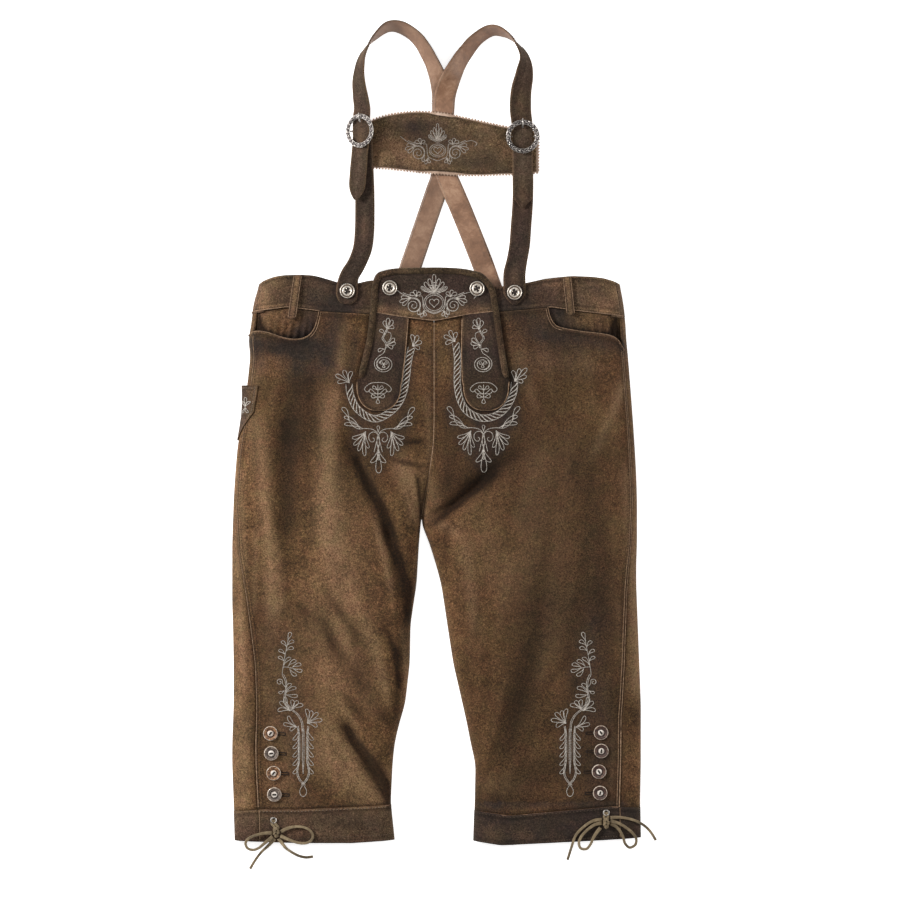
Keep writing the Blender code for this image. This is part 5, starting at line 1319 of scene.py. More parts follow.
def add_wreath(wreath, offset):
    """Pairs of leaves round a buckle's ring, with a ball between each two pairs."""
    count, ball_radius = 22, 0.75
    ball, quads = lathe([(ball_radius * math.sin(q), ball_radius * math.cos(q))
                         for q in np.linspace(math.pi, 0.02, 7)], 8)
    for k in range(count):
        a = 2 * math.pi * (k + offset) / count
        radial, tangent = np.array((math.cos(a), math.sin(a), 0)), np.array((-math.sin(a), math.cos(a), 0))
        for out, tilt, size in ((1.3, 0.6, 4.7), (-1.3, -0.6, 4.2)):
            centre = radial * (BUCKLE_RADIUS + out) + np.array((0, 0, BUCKLE_RISE + 0.7))
            wreath.take(*leaf_blob(centre, unit(tangent + radial * tilt), size, 1.9, 1.35))
        b = a + math.pi / count
        centre = np.array((math.cos(b), math.sin(b), 0)) * BUCKLE_RADIUS
        wreath.take(ball + (centre + np.array((0, 0, BUCKLE_RISE + 1.35))), quads[:, ::-1])


def make_buckles():
    for word, x, y, z, lean in BUCKLES:
        turn = np.array(Matrix.Rotation(math.radians(lean), 3, "Y"))
        at = np.array((x, y, z), float)
        base, wreath = Bundle(), Bundle()
        base.take(*torus_points(BUCKLE_RADIUS, 2.5, 1.7, 96, 12, BUCKLE_RISE - 0.2))
        add_wreath(wreath, 0.3 if word == "left" else 0)
        for radius in (BUCKLE_RADIUS - 2.45, BUCKLE_RADIUS + 2.55):
            wreath.take(*torus_points(radius, 0.45, 0.45, 120, 6, BUCKLE_RISE - 0.1, 44))
        prong = smooth_path([(0, BUCKLE_RADIUS + out, BUCKLE_RISE + up) for out, up in PRONG], 5)
        wreath.tube(prong, upright(len(prong), 0),
                    np.interp(np.linspace(0, 1, len(prong)), (0, .7, 1), (1.1, 1.0, 0.7)), 8)
        bridge = np.array([(BUCKLE_RADIUS, 0, BUCKLE_RISE - 0.4), (BRIDGE_REACH + 1, 0, 0.6),
                           (BRIDGE_REACH, 0, -BRIDGE_DROP)])
        bridge = evenly(np.concatenate([bridge * (-1, 1, 1), bridge[::-1]]), 1.2)
        wreath.tube(bridge, upright(len(bridge), 1), BRIDGE_WIRE, 8)
        for bundle, piece, look in ((base, "ring", DARK_SILVER), (wreath, "wreath", SILVER)):
            bundle.moved(lambda p: p @ turn.T + at)
            bundle.make(f"buckle_{word}_{piece}", look, f"buckle_{word}")


def button_rings(r, style):
    """Rings of a button from its outside in: (material, ((share of the radius r, height), ...))."""
    if style == "rosette":
        rings = (
            (DARK_SILVER, ((.80, 0), (.95, .5), (1, 1.3))),
            (IVORY_SILVER, ((.96, 1.3), (.94, 2.2), (.90, 2.9), (.86, 2.9), (.82, 2.4), (.80, 1.8))),
            (HORN_GROOVE, ((.81, 1.85), (.76, 1.4), (.69, 1.4), (.64, 1.9))),
            (IVORY_SILVER, ((.66, 1.8), (.64, 2.4), (.58, 2.9), (.50, 2.8), (.43, 2.3), (.40, 1.4))),
            # Near-black hollow middle: painted shade.
            (HOLLOW_SHADE, ((.42, 1.45), (.2, 1.3), (0, 1.25))))
    else:
        body = {"1": HORN, "2": GREY_HORN, "3": HORN, "4": GREY_HORN, "red": RED_HORN}[style]
        rings = (
            (body, ((.80, 0), (.96, .6), (1, 1.5))),
            # Thin pale ring round the top of the rim: a painted highlight.
            (HORN_RIM_HIGHLIGHT, ((.998, 1.5), (.985, 2.3), (.95, 2.85), (.91, 2.95))),
            (body, ((.915, 2.93), (.84, 2.8), (.74, 2.4), (.66, 2.1), (.58, 2.0))),
            # Near-black groove: painted shade.
            (HOLLOW_SHADE, ((.59, 2.05), (.55, 1.8), (.49, 1.85))),
            (body, ((.50, 1.8), (.48, 2.3), (.43, 2.7), (.38, 2.75))),
            (PALE_HORN, ((.385, 2.75), (.30, 3.1), (.16, 3.2), (0, 3.2))))
    return [(look, [(r * share, height) for share, height in profile]) for look, profile in rings]


def rosette_slots(r, turn):
    """Four arms of the cross in a rosette button's middle."""
    arms = Bundle()
    for a in np.arange(4) * math.pi / 2 + 0.5 + turn:
        line = np.array([[r * t * math.cos(a), r * t * math.sin(a), 1.7] for t in (0.24, 0.36, 0.46)])
        arms.tube(line, upright(3), 0.7)
    return arms


def thread_slots(a):
    """Two threads side by side over a horn button's middle."""
    threads = Bundle()
    u, v = np.array((math.cos(a), math.sin(a))), np.array((-math.sin(a), math.cos(a)))
    for dx in (-0.5, 0.5):
        line = np.array([[*(u * s * 2.5 + v * dx), 3.3 + 0.3 * (1 - s * s)] for s in np.linspace(-1, 1, 7)])
        threads.tube(line, upright(7), 0.6)
    return threads


def make_buttons():
    for k, (name, x, y, width, lift) in enumerate(BUTTONS):
        r, on_knee = width / 2, name.startswith("knee")
        if on_knee:
            style = name[-1] if "left" in name else "red"
            middle = thread_slots((0.9, 0.1, 0.85, 0.0)[int(name[-1]) - 1] + (0 if "left" in name else 1.3))
        else:
            style, middle = "rosette", rosette_slots(r, 0.7 * k)
        parts = [(look, *lathe(profile)) for look, profile in button_rings(r, style)]
        quads = np.concatenate(middle.faces)
        whole = quads[quads[:, 2] != quads[:, 3]]
        parts.append((HOLLOW_SHADE if on_knee else IVORY_SILVER, np.concatenate(middle.points), whole))
        looks = list(dict.fromkeys(look for look, _, _ in parts))
        starts = np.cumsum([0] + [len(points) for _, points, _ in parts])
        faces = np.concatenate([quads + start for (_, _, quads), start in zip(parts, starts)])
        slots = np.concatenate([np.full(len(quads), looks.index(look)) for look, _, quads in parts])
        points = oriented(np.concatenate([points for _, points, _ in parts]), *on_flap(x, y, lift))
        mesh_object(f"{name}_turned", name, points, [faces], looks, slots)
    profile = [(r * 8.5, h * 2.6)
               for r, h in ((.8, 0), (1, .45), (.95, .8), (.86, 1), (.6, .72), (.3, .7), (0, .7))]
    for word, (x, y, z, *_), toward in (("left", LEFT_STRAP[0], 1), ("right", RIGHT_STRAP[0], -1)):
        points, quads = lathe(profile, 32)
        points = points + np.array((x + 4 * toward, y + 12, z + STRAP_LEATHER / 2 + LAYER_GAP))
        mesh_object(f"back_button_{word}_turned", f"back_button_{word}", points, [quads], [HORN])


def over_band(points):
    """Laces' points, raised off the knee band where they are over it."""
    points = points.copy()
    for p in points:
        edge = float(hem(LEFT if p[0] < 0 else RIGHT, p[0]))
        if p[1] > edge - 2.5 * LACE_WIDTH:
            height = on_flap(p[0], max(p[1], edge), KNEEBAND_LIFT + LAYER_GAP + LACE_WIDTH / 2)[0][2]
            p[2] = max(p[2], height)
    return points


def make_knot(word, eyelet, knot):
    centre, _ = on_flap(*knot, KNEEBAND_LIFT + LAYER_GAP + KNOT_SIZE[2] / 2)
    half = np.array(KNOT_SIZE) / 2
    bundle = Bundle()
    ball, quads = lathe([(math.sin(q), math.cos(q)) for q in np.linspace(0.02, math.pi - 0.02, 20)], 28)
    groove = 1 + 0.07 * np.cos(ball[:, 1] * 7.5) - 0.05 * np.cos(ball[:, 0] * 6)
    bundle.take(ball * half * groove[:, None] * 0.93, quads)
    for y_at, tilt in ((-1.6, 0.5), (1.9, -0.35)):
        a = np.linspace(-0.25, math.pi + 0.25, 16)
        wrap = np.stack((half[0] * 0.98 * np.cos(a), y_at + tilt * np.cos(a) * 2,
                         half[2] * 0.98 * np.sin(a)), -1)
        bundle.tube(wrap, upright(len(a), 1), 1.35, 8)
    a = np.linspace(0.25, math.pi - 0.25, 12)
    tongue = np.stack((0.6 * np.sin(a * 2), half[1] * 0.9 * np.cos(a), half[2] * 1.02 * np.sin(a)), -1)
    bundle.tube(tongue, upright(len(a), 0), 1.3, 8)
    bundle.moved(lambda p: np.clip(p, -half, half) + centre)
    for aside in (-2.4, 2.2):
        route = smooth_path(((eyelet[0] + aside * 0.3, eyelet[1] + 1), (eyelet[0] + aside, eyelet[1] - 4),
                             (knot[0] + aside * 1.1, knot[1] + 6.5), (knot[0] + aside * 0.8, knot[1] + 3)), 6)
        bundle.strip(on_flap(route[:, 0], route[:, 1], KNEEBAND_LIFT + LAYER_GAP + 0.9)[0], 1.7, 0.9)
    bundle.make(f"lace_tie_{word}", LACE, f"lace_knot_{word}")


def make_laces():
    for word, eyelet, knot, strands in BOWS:
        make_knot(word, eyelet, knot)
        for strand, route in strands.items():
            fine = smooth_path(over_band(evenly(smooth_path(route, 16), LACE_STEP, 2)), 4)
            from_knot = lengths_along(fine)
            if "loop" in strand:
                from_knot = np.minimum(from_knot, from_knot[-1] - from_knot)
            thong = Bundle()
            thong.strip(fine, 1.75 + 0.65 * bell(from_knot, 14), 1.2)
            obj = thong.make(f"thong_{word}_{strand}", LACE, f"lace_{word}_{strand}")
            "object" if "loop" in strand else "bare"
        place = on_flap(*eyelet, KNEEBAND_LIFT + LAYER_GAP + 0.3)
        points, quads = torus_points(3.4, 1.15, 0.85, 40, 10, 0.5)
        mesh_object(f"eyelet_{word}_ring", f"eyelet_{word}", oriented(points, *place), [quads], [SILVER])


# ------------------------------------------------------------------ sewing

STITCH_LIGHT, STITCH_TAN, STITCH_DULL, STITCH_DARK = Bundle(), Bundle(), Bundle(), Bundle()
CORDING, KNEE_LINES, RIMS, CENTRE, EDGING, HOLES = Bundle(), Bundle(), Bundle(), Bundle(), Bundle(), Bundle()
LINE_STEP = 1.6


def even_line(points):
    return evenly(smooth_path(points, 6), LINE_STEP)


def lying(route, lift, surface=on_front):
    return surface(route[:, 0], route[:, 1], lift)


def sew_side_seam(side):
    y = np.arange(front_top(side, pick(side, -238, 243)) - 4, -492, -LINE_STEP)
    seam = side_seam(side, y)
    for offset in (2.4, 5.8):
        points, normals = skin(side, seam + offset, y, 0.05)
        points = points + normals * seam_pucker(side)(seam + offset, y)[:, None]
        STITCH_DARK.stitches(points, normals, 3.6, 2.6)
    radius = np.where(y < -392, 0.75, 0.45) + 0.08 * np.sin(y / 2.1)
    CORDING.tube(*skin(side, seam + 0.5, y, -0.1), radius)
    if side == RIGHT:
        CORDING.tube(*skin(side, seam + 3.6, y, 0.0), THIN_CORD)


def sew_pocket(side, rim, corner_y, corner_move, aside):
    line = np.array([p for p in rim if -250 < p[0] < 250], float)
    route = even_line(pick(side, line[:-1], line[1:]))
    RIMS.tube(*lying(route, -0.55), 1.1, 8)
    whole = even_line(line)
    corner = whole[(whole[:, 1] > corner_y) & (np.abs(whole[:, 0]) < 168)]
    CORDING.tube(*lying(corner + np.array(corner_move), 0.1), THIN_CORD)
    inside = route + np.array((0.0, -3.4)) + np.array(aside) * np.clip((route[:, 1:2] - 132) / 16, 0, 1)
    STITCH_DARK.stitches(*lying(inside, 0.05), radius=0.36)
    STITCH_DARK.stitches(*on_front(inside[:, 0], inside[:, 1] - 4.6, 0.05))
    CORDING.tube(*on_front(whole[:, 0], whole[:, 1] + 0.5, 0.35), 0.38)


def sew_waist(side):
    x = np.linspace(*pick(side, (-239, -153), (146, 243)), 60)
    CORDING.tube(*on_front(x, waist_seam(x) + 0.6, WAISTBAND_LIFT + 0.3), 0.5)
    x = np.linspace(*pick(side, (-241, -226), (229, 245)), 16)
    RIMS.tube(*on_front(x, waist_seam(x) - 0.9, 0.3), 1.5, 8)
    x = np.linspace(*pick(side, (-236, -5), (-1, 241)), 160)
    beside_flap = (x < -92) | (x > 88)
    over_pocket = (x < -156) | (x > 147)
    for offset, lift, shown in ((2.6, WAISTBAND_LIFT, beside_flap), (-2.6, 0, beside_flap & ~over_pocket)):
        points, normals = on_front(x[shown], waist_seam(x[shown]) + offset, lift + 0.05)
        STITCH_DARK.stitches(points, normals, radius=0.32, lift=0.03)
    points, normals = on_front(x, waist_top(x) - 3.2, WAISTBAND_LIFT + 0.05)
    shown = (x < -84) | (x > 76)
    STITCH_DARK.stitches(points[shown], normals[shown])


def sew_knee_band(side):
    x = np.linspace(*pick(side, (-232, -62), (56, 238)), 120)
    seam = knee_seam(side, x)
    for offset, lift, bundle in ((-3.4, KNEEBAND_LIFT, STITCH_DARK), (2.6, 0, STITCH_DARK),
                                 (-38.5, KNEEBAND_LIFT, STITCH_DULL)):
        bundle.stitches(*on_front(x, seam + offset, lift + 0.05), radius=0.36)
    KNEE_LINES.tube(*on_front(x, seam - 0.4, 0.35), THIN_CORD)
    pick(side, STITCH_TAN, STITCH_DULL).stitches(*on_front(x, seam - 2.4, KNEEBAND_LIFT + 0.05), 4.6, 1.9)
    end = pick(side, -231.5, 240.0)
    fold = even_line(((end, knee_seam(side, end) - 1), (end + 0.5, hem(side, end) + 3)))
    CORDING.tube(*lying(fold, KNEEBAND_LIFT + 0.1), THIN_CORD)


def sew_trousers():
    pockets = {LEFT: (LEFT_POCKET, 124, (2.3, -1.6), (3.0, 1.6)),
               RIGHT: (RIGHT_POCKET, 134, (-2.3, -1.8), (-3.0, 1.6))}
    for side, _ in SIDES:
        sew_side_seam(side)
        sew_pocket(side, *pockets[side])
        sew_waist(side)
        sew_knee_band(side)
    y = np.arange(143, -116, -LINE_STEP)
    x = outline(y, 2)
    CENTRE.tube(*on_front(x + 0.3, y, -0.1), 0.7 + 0.1 * np.sin(y / 2.3), 7)
    for offset in (-3.4, 3.6):
        STITCH_DARK.stitches(*on_front(x[6:] + offset, y[6:], 0.05), 3.5, radius=0.33)


def sew_tongue(side):
    y = np.concatenate([np.arange(148, 52, -1.5), np.linspace(52, 28.6, 26)])
    inner = np.stack((tongue_edge(y, pick(side, 2, 3)), y), -1)
    y = np.concatenate([np.linspace(28.6, 52, 26), np.arange(53.5, 66, 1.5)])
    outer = np.stack((tongue_edge(y, pick(side, 1, 4)), y), -1)
    route = evenly(np.concatenate([inner, outer]), LINE_STEP)
    EDGING.tube(*lying(route, APPLIED_LIFT - 0.9, on_flap), 0.7, 7)
    inward = -beside(route)
    middle = np.array((pick(side, -70.0, 62.0), 90.0))
    inward *= np.sign(((middle - route) * inward).sum(1))[:, None]
    STITCH_DARK.stitches(*lying(route + inward * 2.8, APPLIED_LIFT, on_flap), *SHORT_STITCH)


def sew_flap():
    for side, _ in SIDES:
        sew_tongue(side)
    x = np.linspace(-82, 74, 110)
    EDGING.tube(*on_flap(x, edge_y(FLAP_SEAM, x) + 0.1, APPLIED_LIFT - 0.5), 0.65, 7)
    STITCH_DARK.stitches(*on_flap(x, edge_y(FLAP_SEAM, x) + 3.0, APPLIED_LIFT), *SHORT_STITCH)
    route = evenly(welt_route(), LINE_STEP)
    route = route + beside(route) * (WELT_WIDTH / 2 + 1.6)
    STITCH_DARK.stitches(*lying(route, APPLIED_LIFT, on_flap), *SHORT_STITCH)


def sew_belt_loops():
    for _, x_top, y_top, x_bottom, y_bottom in BELT_LOOPS:
        t = np.linspace(0.04, 0.96, 40)
        for share in (-1, 1):
            x = x_top + (x_bottom - x_top) * t + share * (BELT_LOOP_WIDTH / 2 - 1.6)
            y = np.minimum(y_top + (y_bottom - y_top) * t, waist_top(x) - 2)
            CORDING.tube(*on_flap(x + share * 1.5, y, belt_loop_lift(t) - 0.2), 0.36)
            STITCH_DARK.stitches(*on_flap(x, y, belt_loop_lift(t) + 0.1), 3.0, 2.0, 0.3, 0.0)
    x = np.linspace(-0.8, 0.8, 12) * 4
    for up in (4, 8):
        for _, _, _, x_bottom, y_bottom in BELT_LOOPS:
            STITCH_DARK.stitches(*on_flap(x_bottom + x, y_bottom + up, APPLIED_LIFT + 0.5), 2.6, 1.9)


def sew_knife_pocket():
    for t, share in ((np.linspace(0.03, 0.95, 60), np.full(60, 0.90)),
                     (np.full(30, 0.05), np.linspace(0.1, 0.9, 30))):
        STITCH_LIGHT.stitches(*knife_point(t, share), 3.0, 2.1)


def sew_buttonholes():
    bar = np.linspace(-2.0, 2.0, 5)
    for name, x, y, width, _ in BUTTONS:
        if not name.startswith("knee"):
            continue
        toward = 1 if "left" in name else -1
        t = np.linspace(width / 2 - 2, width / 2 + 9.5, 9)
        for row in (-1.5, 1.5):
            HOLES.tube(*on_front(x + toward * t, y + row - 0.05 * t, 0.1), 0.8)
        HOLES.tube(*on_front(x + toward * (width / 2 + 9.8), y - 0.9 + bar, 0.15), 0.8)


# ------------------------------------------------------------------ embroidery

def petal(base, tip, width, bow=0.0):
    """A loop from its base out to a round tip and back; bow bends it to one side."""
    base, reach = np.asarray(base, float), np.subtract(tip, base).astype(float)
    turn = np.linspace(0, 2 * math.pi, 26)
    s = (1 - np.cos(turn)) / 2
    aside = np.array((-reach[1], reach[0]))
    half = width / 2 * np.sin(turn) * s ** 1.3 / 0.60 / np.linalg.norm(reach)
    return base + reach * s[:, None] + aside * (half + bow * 4 * s * (1 - s))[:, None]


def petals(base, tips, width, bow=0.0):
    """Loops from one base, the outer ones bent away from the middle one."""
    spread = np.linspace(-1, 1, len(tips)) if len(tips) > 1 else [0]
    return [petal(base, tip, width, bow * k) for tip, k in zip(tips, spread)]


def spiral(centre, radius, turns, start, sense, inner=0.12, squash=1.0):
    s = np.linspace(0, 1, int(26 * turns) + 4)
    r = radius * (1 - (1 - inner) * s ** 0.9)
    a = start + sense * 2 * math.pi * turns * s
    return np.asarray(centre) + np.stack((r * np.cos(a), r * np.sin(a) * squash), -1)


def arc_line(points):
    return smooth_path(points, 8)


def mirrored(lines, x):
    return [np.stack((2 * x - line[:, 0], line[:, 1]), -1) for line in lines]


def rope(route, width, pitch):
    """A twisted border: slanting strands, and their thinner edges. Returns (edges, strands)."""
    route = evenly(arc_line(route), 1.0)
    across = beside(route)
    edges, strands = [route + across * width / 2, route - across * width / 2], []
    s = np.linspace(-1, 1, 11)
    for k in np.arange(pitch / 2, len(route) - pitch * 0.6, pitch):
        at = k + s * pitch * 0.9
        line = np.stack([np.interp(at, np.arange(len(route)), route[:, i]) for i in (0, 1)], -1)
        strands.append(line + across[int(k)] * width / 2 * 0.86 * np.sin(s * math.pi / 2)[:, None])
    return edges, strands


def heart(centre, size):
    t = np.linspace(0, 2 * math.pi, 40)
    x = 16 * np.sin(t) ** 3
    y = 13 * np.cos(t) - 5 * np.cos(2 * t) - 2 * np.cos(3 * t) - np.cos(4 * t)
    return np.asarray(centre) + np.stack((x, y), -1) * size / 32


def ring(radius_x, radius_y):
    t = np.linspace(0, 2 * math.pi, 36)
    return np.stack((radius_x * np.cos(t), radius_y * np.sin(t)), -1)


def bib_motif(centre, wide, high, oval, spread):
    """A spreading ornament: a palmette over a ringed heart, with scrolls and tendrils on both sides."""
    lines = [ring(*oval), ring(oval[0] - 2.2, oval[1] - 2.2), heart((0, 0.4), oval[0] * 0.95)]
    crown = petals((0, 14), ((-17, 21), (-12.5, 27), (-6.8, 31.5), (0, 37.5), (6.8, 31.5), (12.5, 27),
                             (17, 21)), 4.6, -0.09)
    crown += petals((0, 14), ((-4.4, 23), (0, 27), (4.4, 23)), 3.2)
    for lift in (0, 1.9):
        crown.append(arc_line(((-15.5, 18.5 + lift), (-8, 13.8 + lift), (0, 11.6 + lift), (8, 13.8 + lift),
                               (15.5, 18.5 + lift))))
    lines += [line * (spread, 1) for line in crown]
    lines.append(arc_line(((-13, -9), (-6, -12), (0, -14), (6, -12), (13, -9))))
    for sign, x, y, radius in ((-1, -27, -3.6, 11.6), (1, 25, -3.2, 10.8)):
        for grow, turns, inner in ((1.0, 2.1, 0.12), (0.85, 1.0, 0.70)):
            lines.append(spiral((x, y), radius * grow, turns, math.pi / 2 - 0.9 * sign, sign, inner))
        lines.append(arc_line([(sign * across, up) for across, up in (
            (20, 9), (15.5, 8.5), (14.6, 2), (14.2, -5), (12, -11), (16, -14), (20.5, -15))]))
        lines += petals((sign * 13.5, -10), ((sign * 11, -17), (sign * 17, -18.5)), 3.6)
        joint = (x + sign * 3, y + radius - 1)
        lines += petals((x - sign * 4, y + radius), ((x - sign * 9, y + 17), (x - sign * 1.5, y + 20),
                                                    (x + sign * 4.5, y + 16))[::sign], 4.4, 0.1)
        lines += petals(joint, ((x + sign * 16, y + 11), (x + sign * 18, y + 5), (x + sign * 14, y + 0.5)),
                        4.2)
        lines.append(petal((x - sign * 9, y - 3), (x - sign * 7, y - 12), 3.8, 0.1 * sign))
        end = ((23, 17), (30, 13), (27, 9)) if sign > 0 else ((-20, 19), (-25, 23))
        end = [(x + right, y + up) for right, up in end]
        lines.append(arc_line((joint, (x + sign * 9, y + 13), (x + sign * 15, y + 15.5), *end)))
        lines.append(arc_line(((x + sign, y + radius + 1), (x + sign * 8, y + 14.6),
                               (x + sign * 14, y + 17))))
    return [line * (wide, high) + np.asarray(centre) for line in lines]


def tongue_motif(side):
    """A climbing vine that ends in a scroll, and a small palmette at the tongue's end."""
    lines = petals((-64.5, 134.5), ((-68, 145), (-63, 148.5), (-57.5, 146)), 4.4, -0.08)
    lines += [petal((-64, 134), (-55.5, 137), 4.6, 0.1), petal((-67, 127), (-74, 133), 4.2, -0.1)]
    stem = np.array(((-64.5, 135), (-67.5, 129), (-71, 122), (-67, 116), (-66.5, 109), (-69, 103)))
    lines += [arc_line(stem), arc_line(stem[:-1] + (1.8, 0.4))]
    lines.append(arc_line(((-66, 131), (-60, 129), (-59.5, 123), (-64, 116))))
    lines += petals((-66, 113), ((-55, 122), (-53.5, 116), (-57, 109.5)), 4.6, 0.06)
    lines.append(petal((-67.5, 108), (-76, 105.5), 4.4, -0.12))
    centre = (-68.8, 88.4)
    lines += [arc_line(((-66.5, 109), (-69, 103), (-75.5, 98.5), (-80.4, 93))),
              spiral(centre, 12.4, 1.28, 2.75, 1, 0.72, 0.88), spiral(centre, 9.0, 1.1, 2.4, 1, 0.66, 0.88)]
    for turn in (0.5, 2.6, 4.7):
        lines.append(petal(centre, np.add(centre, (5.0 * math.cos(turn), 4.6 * math.sin(turn))), 3.6))
    palmette = [arc_line(((-10.5, -9.5), (-14, -12.5), (-17.6, -9), (-14.5, -4.4), (-8.5, -0.8), (0, 0))),
                petal((-0.4, -15), (-11, -9.5), 4.6, 0.1), petal((-0.4, -19), (-8.6, -17), 4.2, 0.1),
                petal((-0.4, -10), (-6.6, -5.2), 3.6)]
    palmette += mirrored(palmette, 0)
    palmette += [arc_line(((0, -3), (0, -12), (0, -21))), petal((0, -20), (0, -27.5), 4.6)]
    palmette = [line + (-76.4, 64.6) for line in palmette]
    return lines + palmette if side == LEFT else mirrored(lines, -4.2) + mirrored(palmette, -7.4)


def apron_motif(base):
    """The ornament under a tongue: two arms with leaves, scrolls, fans and a hanging bud."""
    half = [arc_line(((0, 0), (-2.6, 4.4), (-8, 7.6), (-16.7, 8.7), (-26, 8.2), (-34, 13), (-40, 22))),
            petal((-38, 20), (-46.7, 36), 5.4, -0.08), petal((-24, 8), (-44.5, 24), 4.6, -0.12),
            petal((-20, 8.4), (-44, 14.5), 4.4, -0.08),
            arc_line(((0, 0), (-3.4, 3.4), (-7.8, 3.8), (-11.8, 0.6), (-12.2, -4.8), (-9.2, -8.8),
                      (-5.6, -7.8), (-5.4, -4.6), (-7.4, -3.6)))]
    half += petals((-16.4, 5), ((-34, -4), (-32, -13), (-26, -20.5), (-17.5, -27), (-12.6, -17)), 4.4, -0.09)
    half += [arc_line(((-0.9, 0), (-1.6, -7), (-1.1, -15))), arc_line(((0, -1), (-3, -12), (-5.4, -22))),
             petal((-0.6, -13), (-9.4, -36), 5.6, 0.16)]
    lines = half + mirrored(half, 0)
    lines += [petal((0, -17), (0.6, -49.5), 7.6), petal((0, -13), (0.2, -33), 2.6),
              petal((0, 3.5), (0, 12.2), 3.6)]
    return [line + np.asarray(base) for line in lines]


def knee_motif():
    """For the left knee: a vine that climbs to a leafy tip, over two leafed rails and a loop."""
    stem = np.array([(-175.6, -392), (-177, -379), (-182.5, -369.5), (-190, -363), (-198.5, -353),
                     (-199.3, -346), (-197.4, -336), (-198, -325), (-201.5, -317), (-200, -305),
                     (-198.5, -295), (-196, -283), (-194, -272)])
    lines = [arc_line(stem), arc_line(stem[:9] + (1.7, 0.5)), petal((-194.5, -273), (-190.5, -262), 4.6)]
    lines += [petal(*row) for row in (
        ((-195, -279), (-186.5, -273), 4.4, 0.1), ((-196.4, -286), (-187, -282), 4.4, 0.1),
        ((-196, -281), (-202.5, -273.5), 4.0, -0.1), ((-198, -291), (-206, -285), 4.0, -0.1),
        ((-199, -300), (-206.5, -294), 3.8, -0.1), ((-199.5, -305), (-190.5, -295), 4.2, 0.12),
        ((-194, -306.5), (-183.5, -298.5), 4.4, 0.1), ((-189, -308), (-177, -303.5), 4.4, 0.08),
        ((-188, -309), (-175.5, -312.5), 4.4, -0.06), ((-192, -309), (-183, -318.5), 4.4, -0.12),
        ((-198, -341), (-190, -329), 4.4, 0.12), ((-198, -342), (-183.5, -334), 4.6, 0.1),
        ((-198, -343), (-181.5, -345), 4.4, -0.06), ((-199, -338), (-206, -341), 3.6, 0.1))]
    lines += [arc_line(((-200.4, -307), (-194, -307.5), (-188, -309), (-181, -310.5))),
              spiral((-205, -327), 4.4, 1.2, 0.6, 1, 0.25),
              arc_line(((-198, -333), (-201, -329), (-201.4, -324.6)))]
    lines += petals((-191, -364.5), ((-207.5, -364), (-204.5, -352.5), (-198, -346.5)), 5.0, 0.1)
    lines += petals((-190.5, -364), ((-188.5, -350), (-181, -351.5), (-174.5, -356.5)), 5.0, 0.1)
    lines += petals((-181.6, -386), ((-191.5, -390), (-200, -381.5), (-194, -371.5)), 4.6, 0.1)
    lines += petals((-169, -381), ((-170, -362), (-163, -364.5), (-155, -367), (-149.5, -376.5),
                                   (-156, -385)), 5.0, 0.1)
    for x in (-175.3, -173.2):
        lines.append(arc_line(((x, -388), (x, -404), (x, -428), (-174.3, -447))))
    rail = [(-182, -385), (-180.2, -400), (-180.4, -430), (-182.8, -444), (-180.2, -454), (-173, -463),
            (-169.9, -469.5), (-171.2, -475), (-174.3, -477)]
    half = [arc_line(rail), arc_line([(x + 1.5, y + 0.8) for x, y in rail[:6]])]
    for y in (-395, -406, -417, -428, -439):
        half.append(petal((-180.4, y + 6), (-187.2, y - 8), 4.2, 0.12))
    return lines + half + mirrored(half, -174.3)


def stitch_motif(bundle, lines, surface, lift, radius):
    lines = [evenly(line, 1.0, 3) for line in lines]
    together = np.concatenate(lines)
    points, normals = surface(together[:, 0], together[:, 1], lift)
    start = 0
    for line in lines:
        part = slice(start, start + len(line))
        beads = radius * (1 + 0.22 * np.sin(np.arange(len(line)) * 2 * math.pi / 3.0))
        bundle.tube(points[part], normals[part], beads, 5, 0.8)
        start += len(line)


def on_bar(x, y, lift):
    return np.stack((x, y, bar_front_height(x) + bar_uneven(x, y) + lift), -1), upright(len(x))


def front_work():
    """The stitched lines on the trousers' front, by piece: (thin lines, thicker lines)."""
    left_rope = ((-32.5, 110), (-36.5, 94), (-40, 66.8), (-44.5, 47.2), (-53, 33), (-66.2, 22), (-79.3, 17.2),
                 (-92.4, 21.2), (-105.5, 32.8), (-112.6, 49.8), (-114, 62.5))
    right_rope = ((25.4, 116), (27.6, 95.6), (27.6, 60.3), (32.8, 38), (43, 24.8), (60.3, 18), (77.9, 21.4),
                  (91.4, 32.6), (100, 49.8), (102, 64.7))
    left_sprays = (((-31.5, 112), ((-32, 127), (-24, 126), (-19.5, 118), (-22, 108.5))),
                   ((-113.5, 64), ((-129, 65), (-131.5, 74.5), (-121, 80.5), (-111, 79))))
    right_sprays = (((24.5, 118), ((12, 115.5), (10, 125.5), (17.5, 132.5), (26, 130))),
                    ((102, 66), ((99.5, 80), (109, 82.5), (118, 83), (117.5, 73), (113, 65.5))))
    work = {}
    for word, route, sprays, apron in (("left", left_rope, left_sprays, (-76.0, -4.2)),
                                       ("right", right_rope, right_sprays, (61.5, -3.2))):
        edges, strands = rope(route, 8.6, 6.3)
        for base, tips in sprays:
            edges += petals(base, tips, 5.0, 0.08)
        work[f"front_{word}"] = (edges + apron_motif(apron), strands)
    work["knee_left"] = (knee_motif(), [])
    work["knee_right"] = (mirrored(knee_motif(), 0.2), [])
    return work


HALO = []


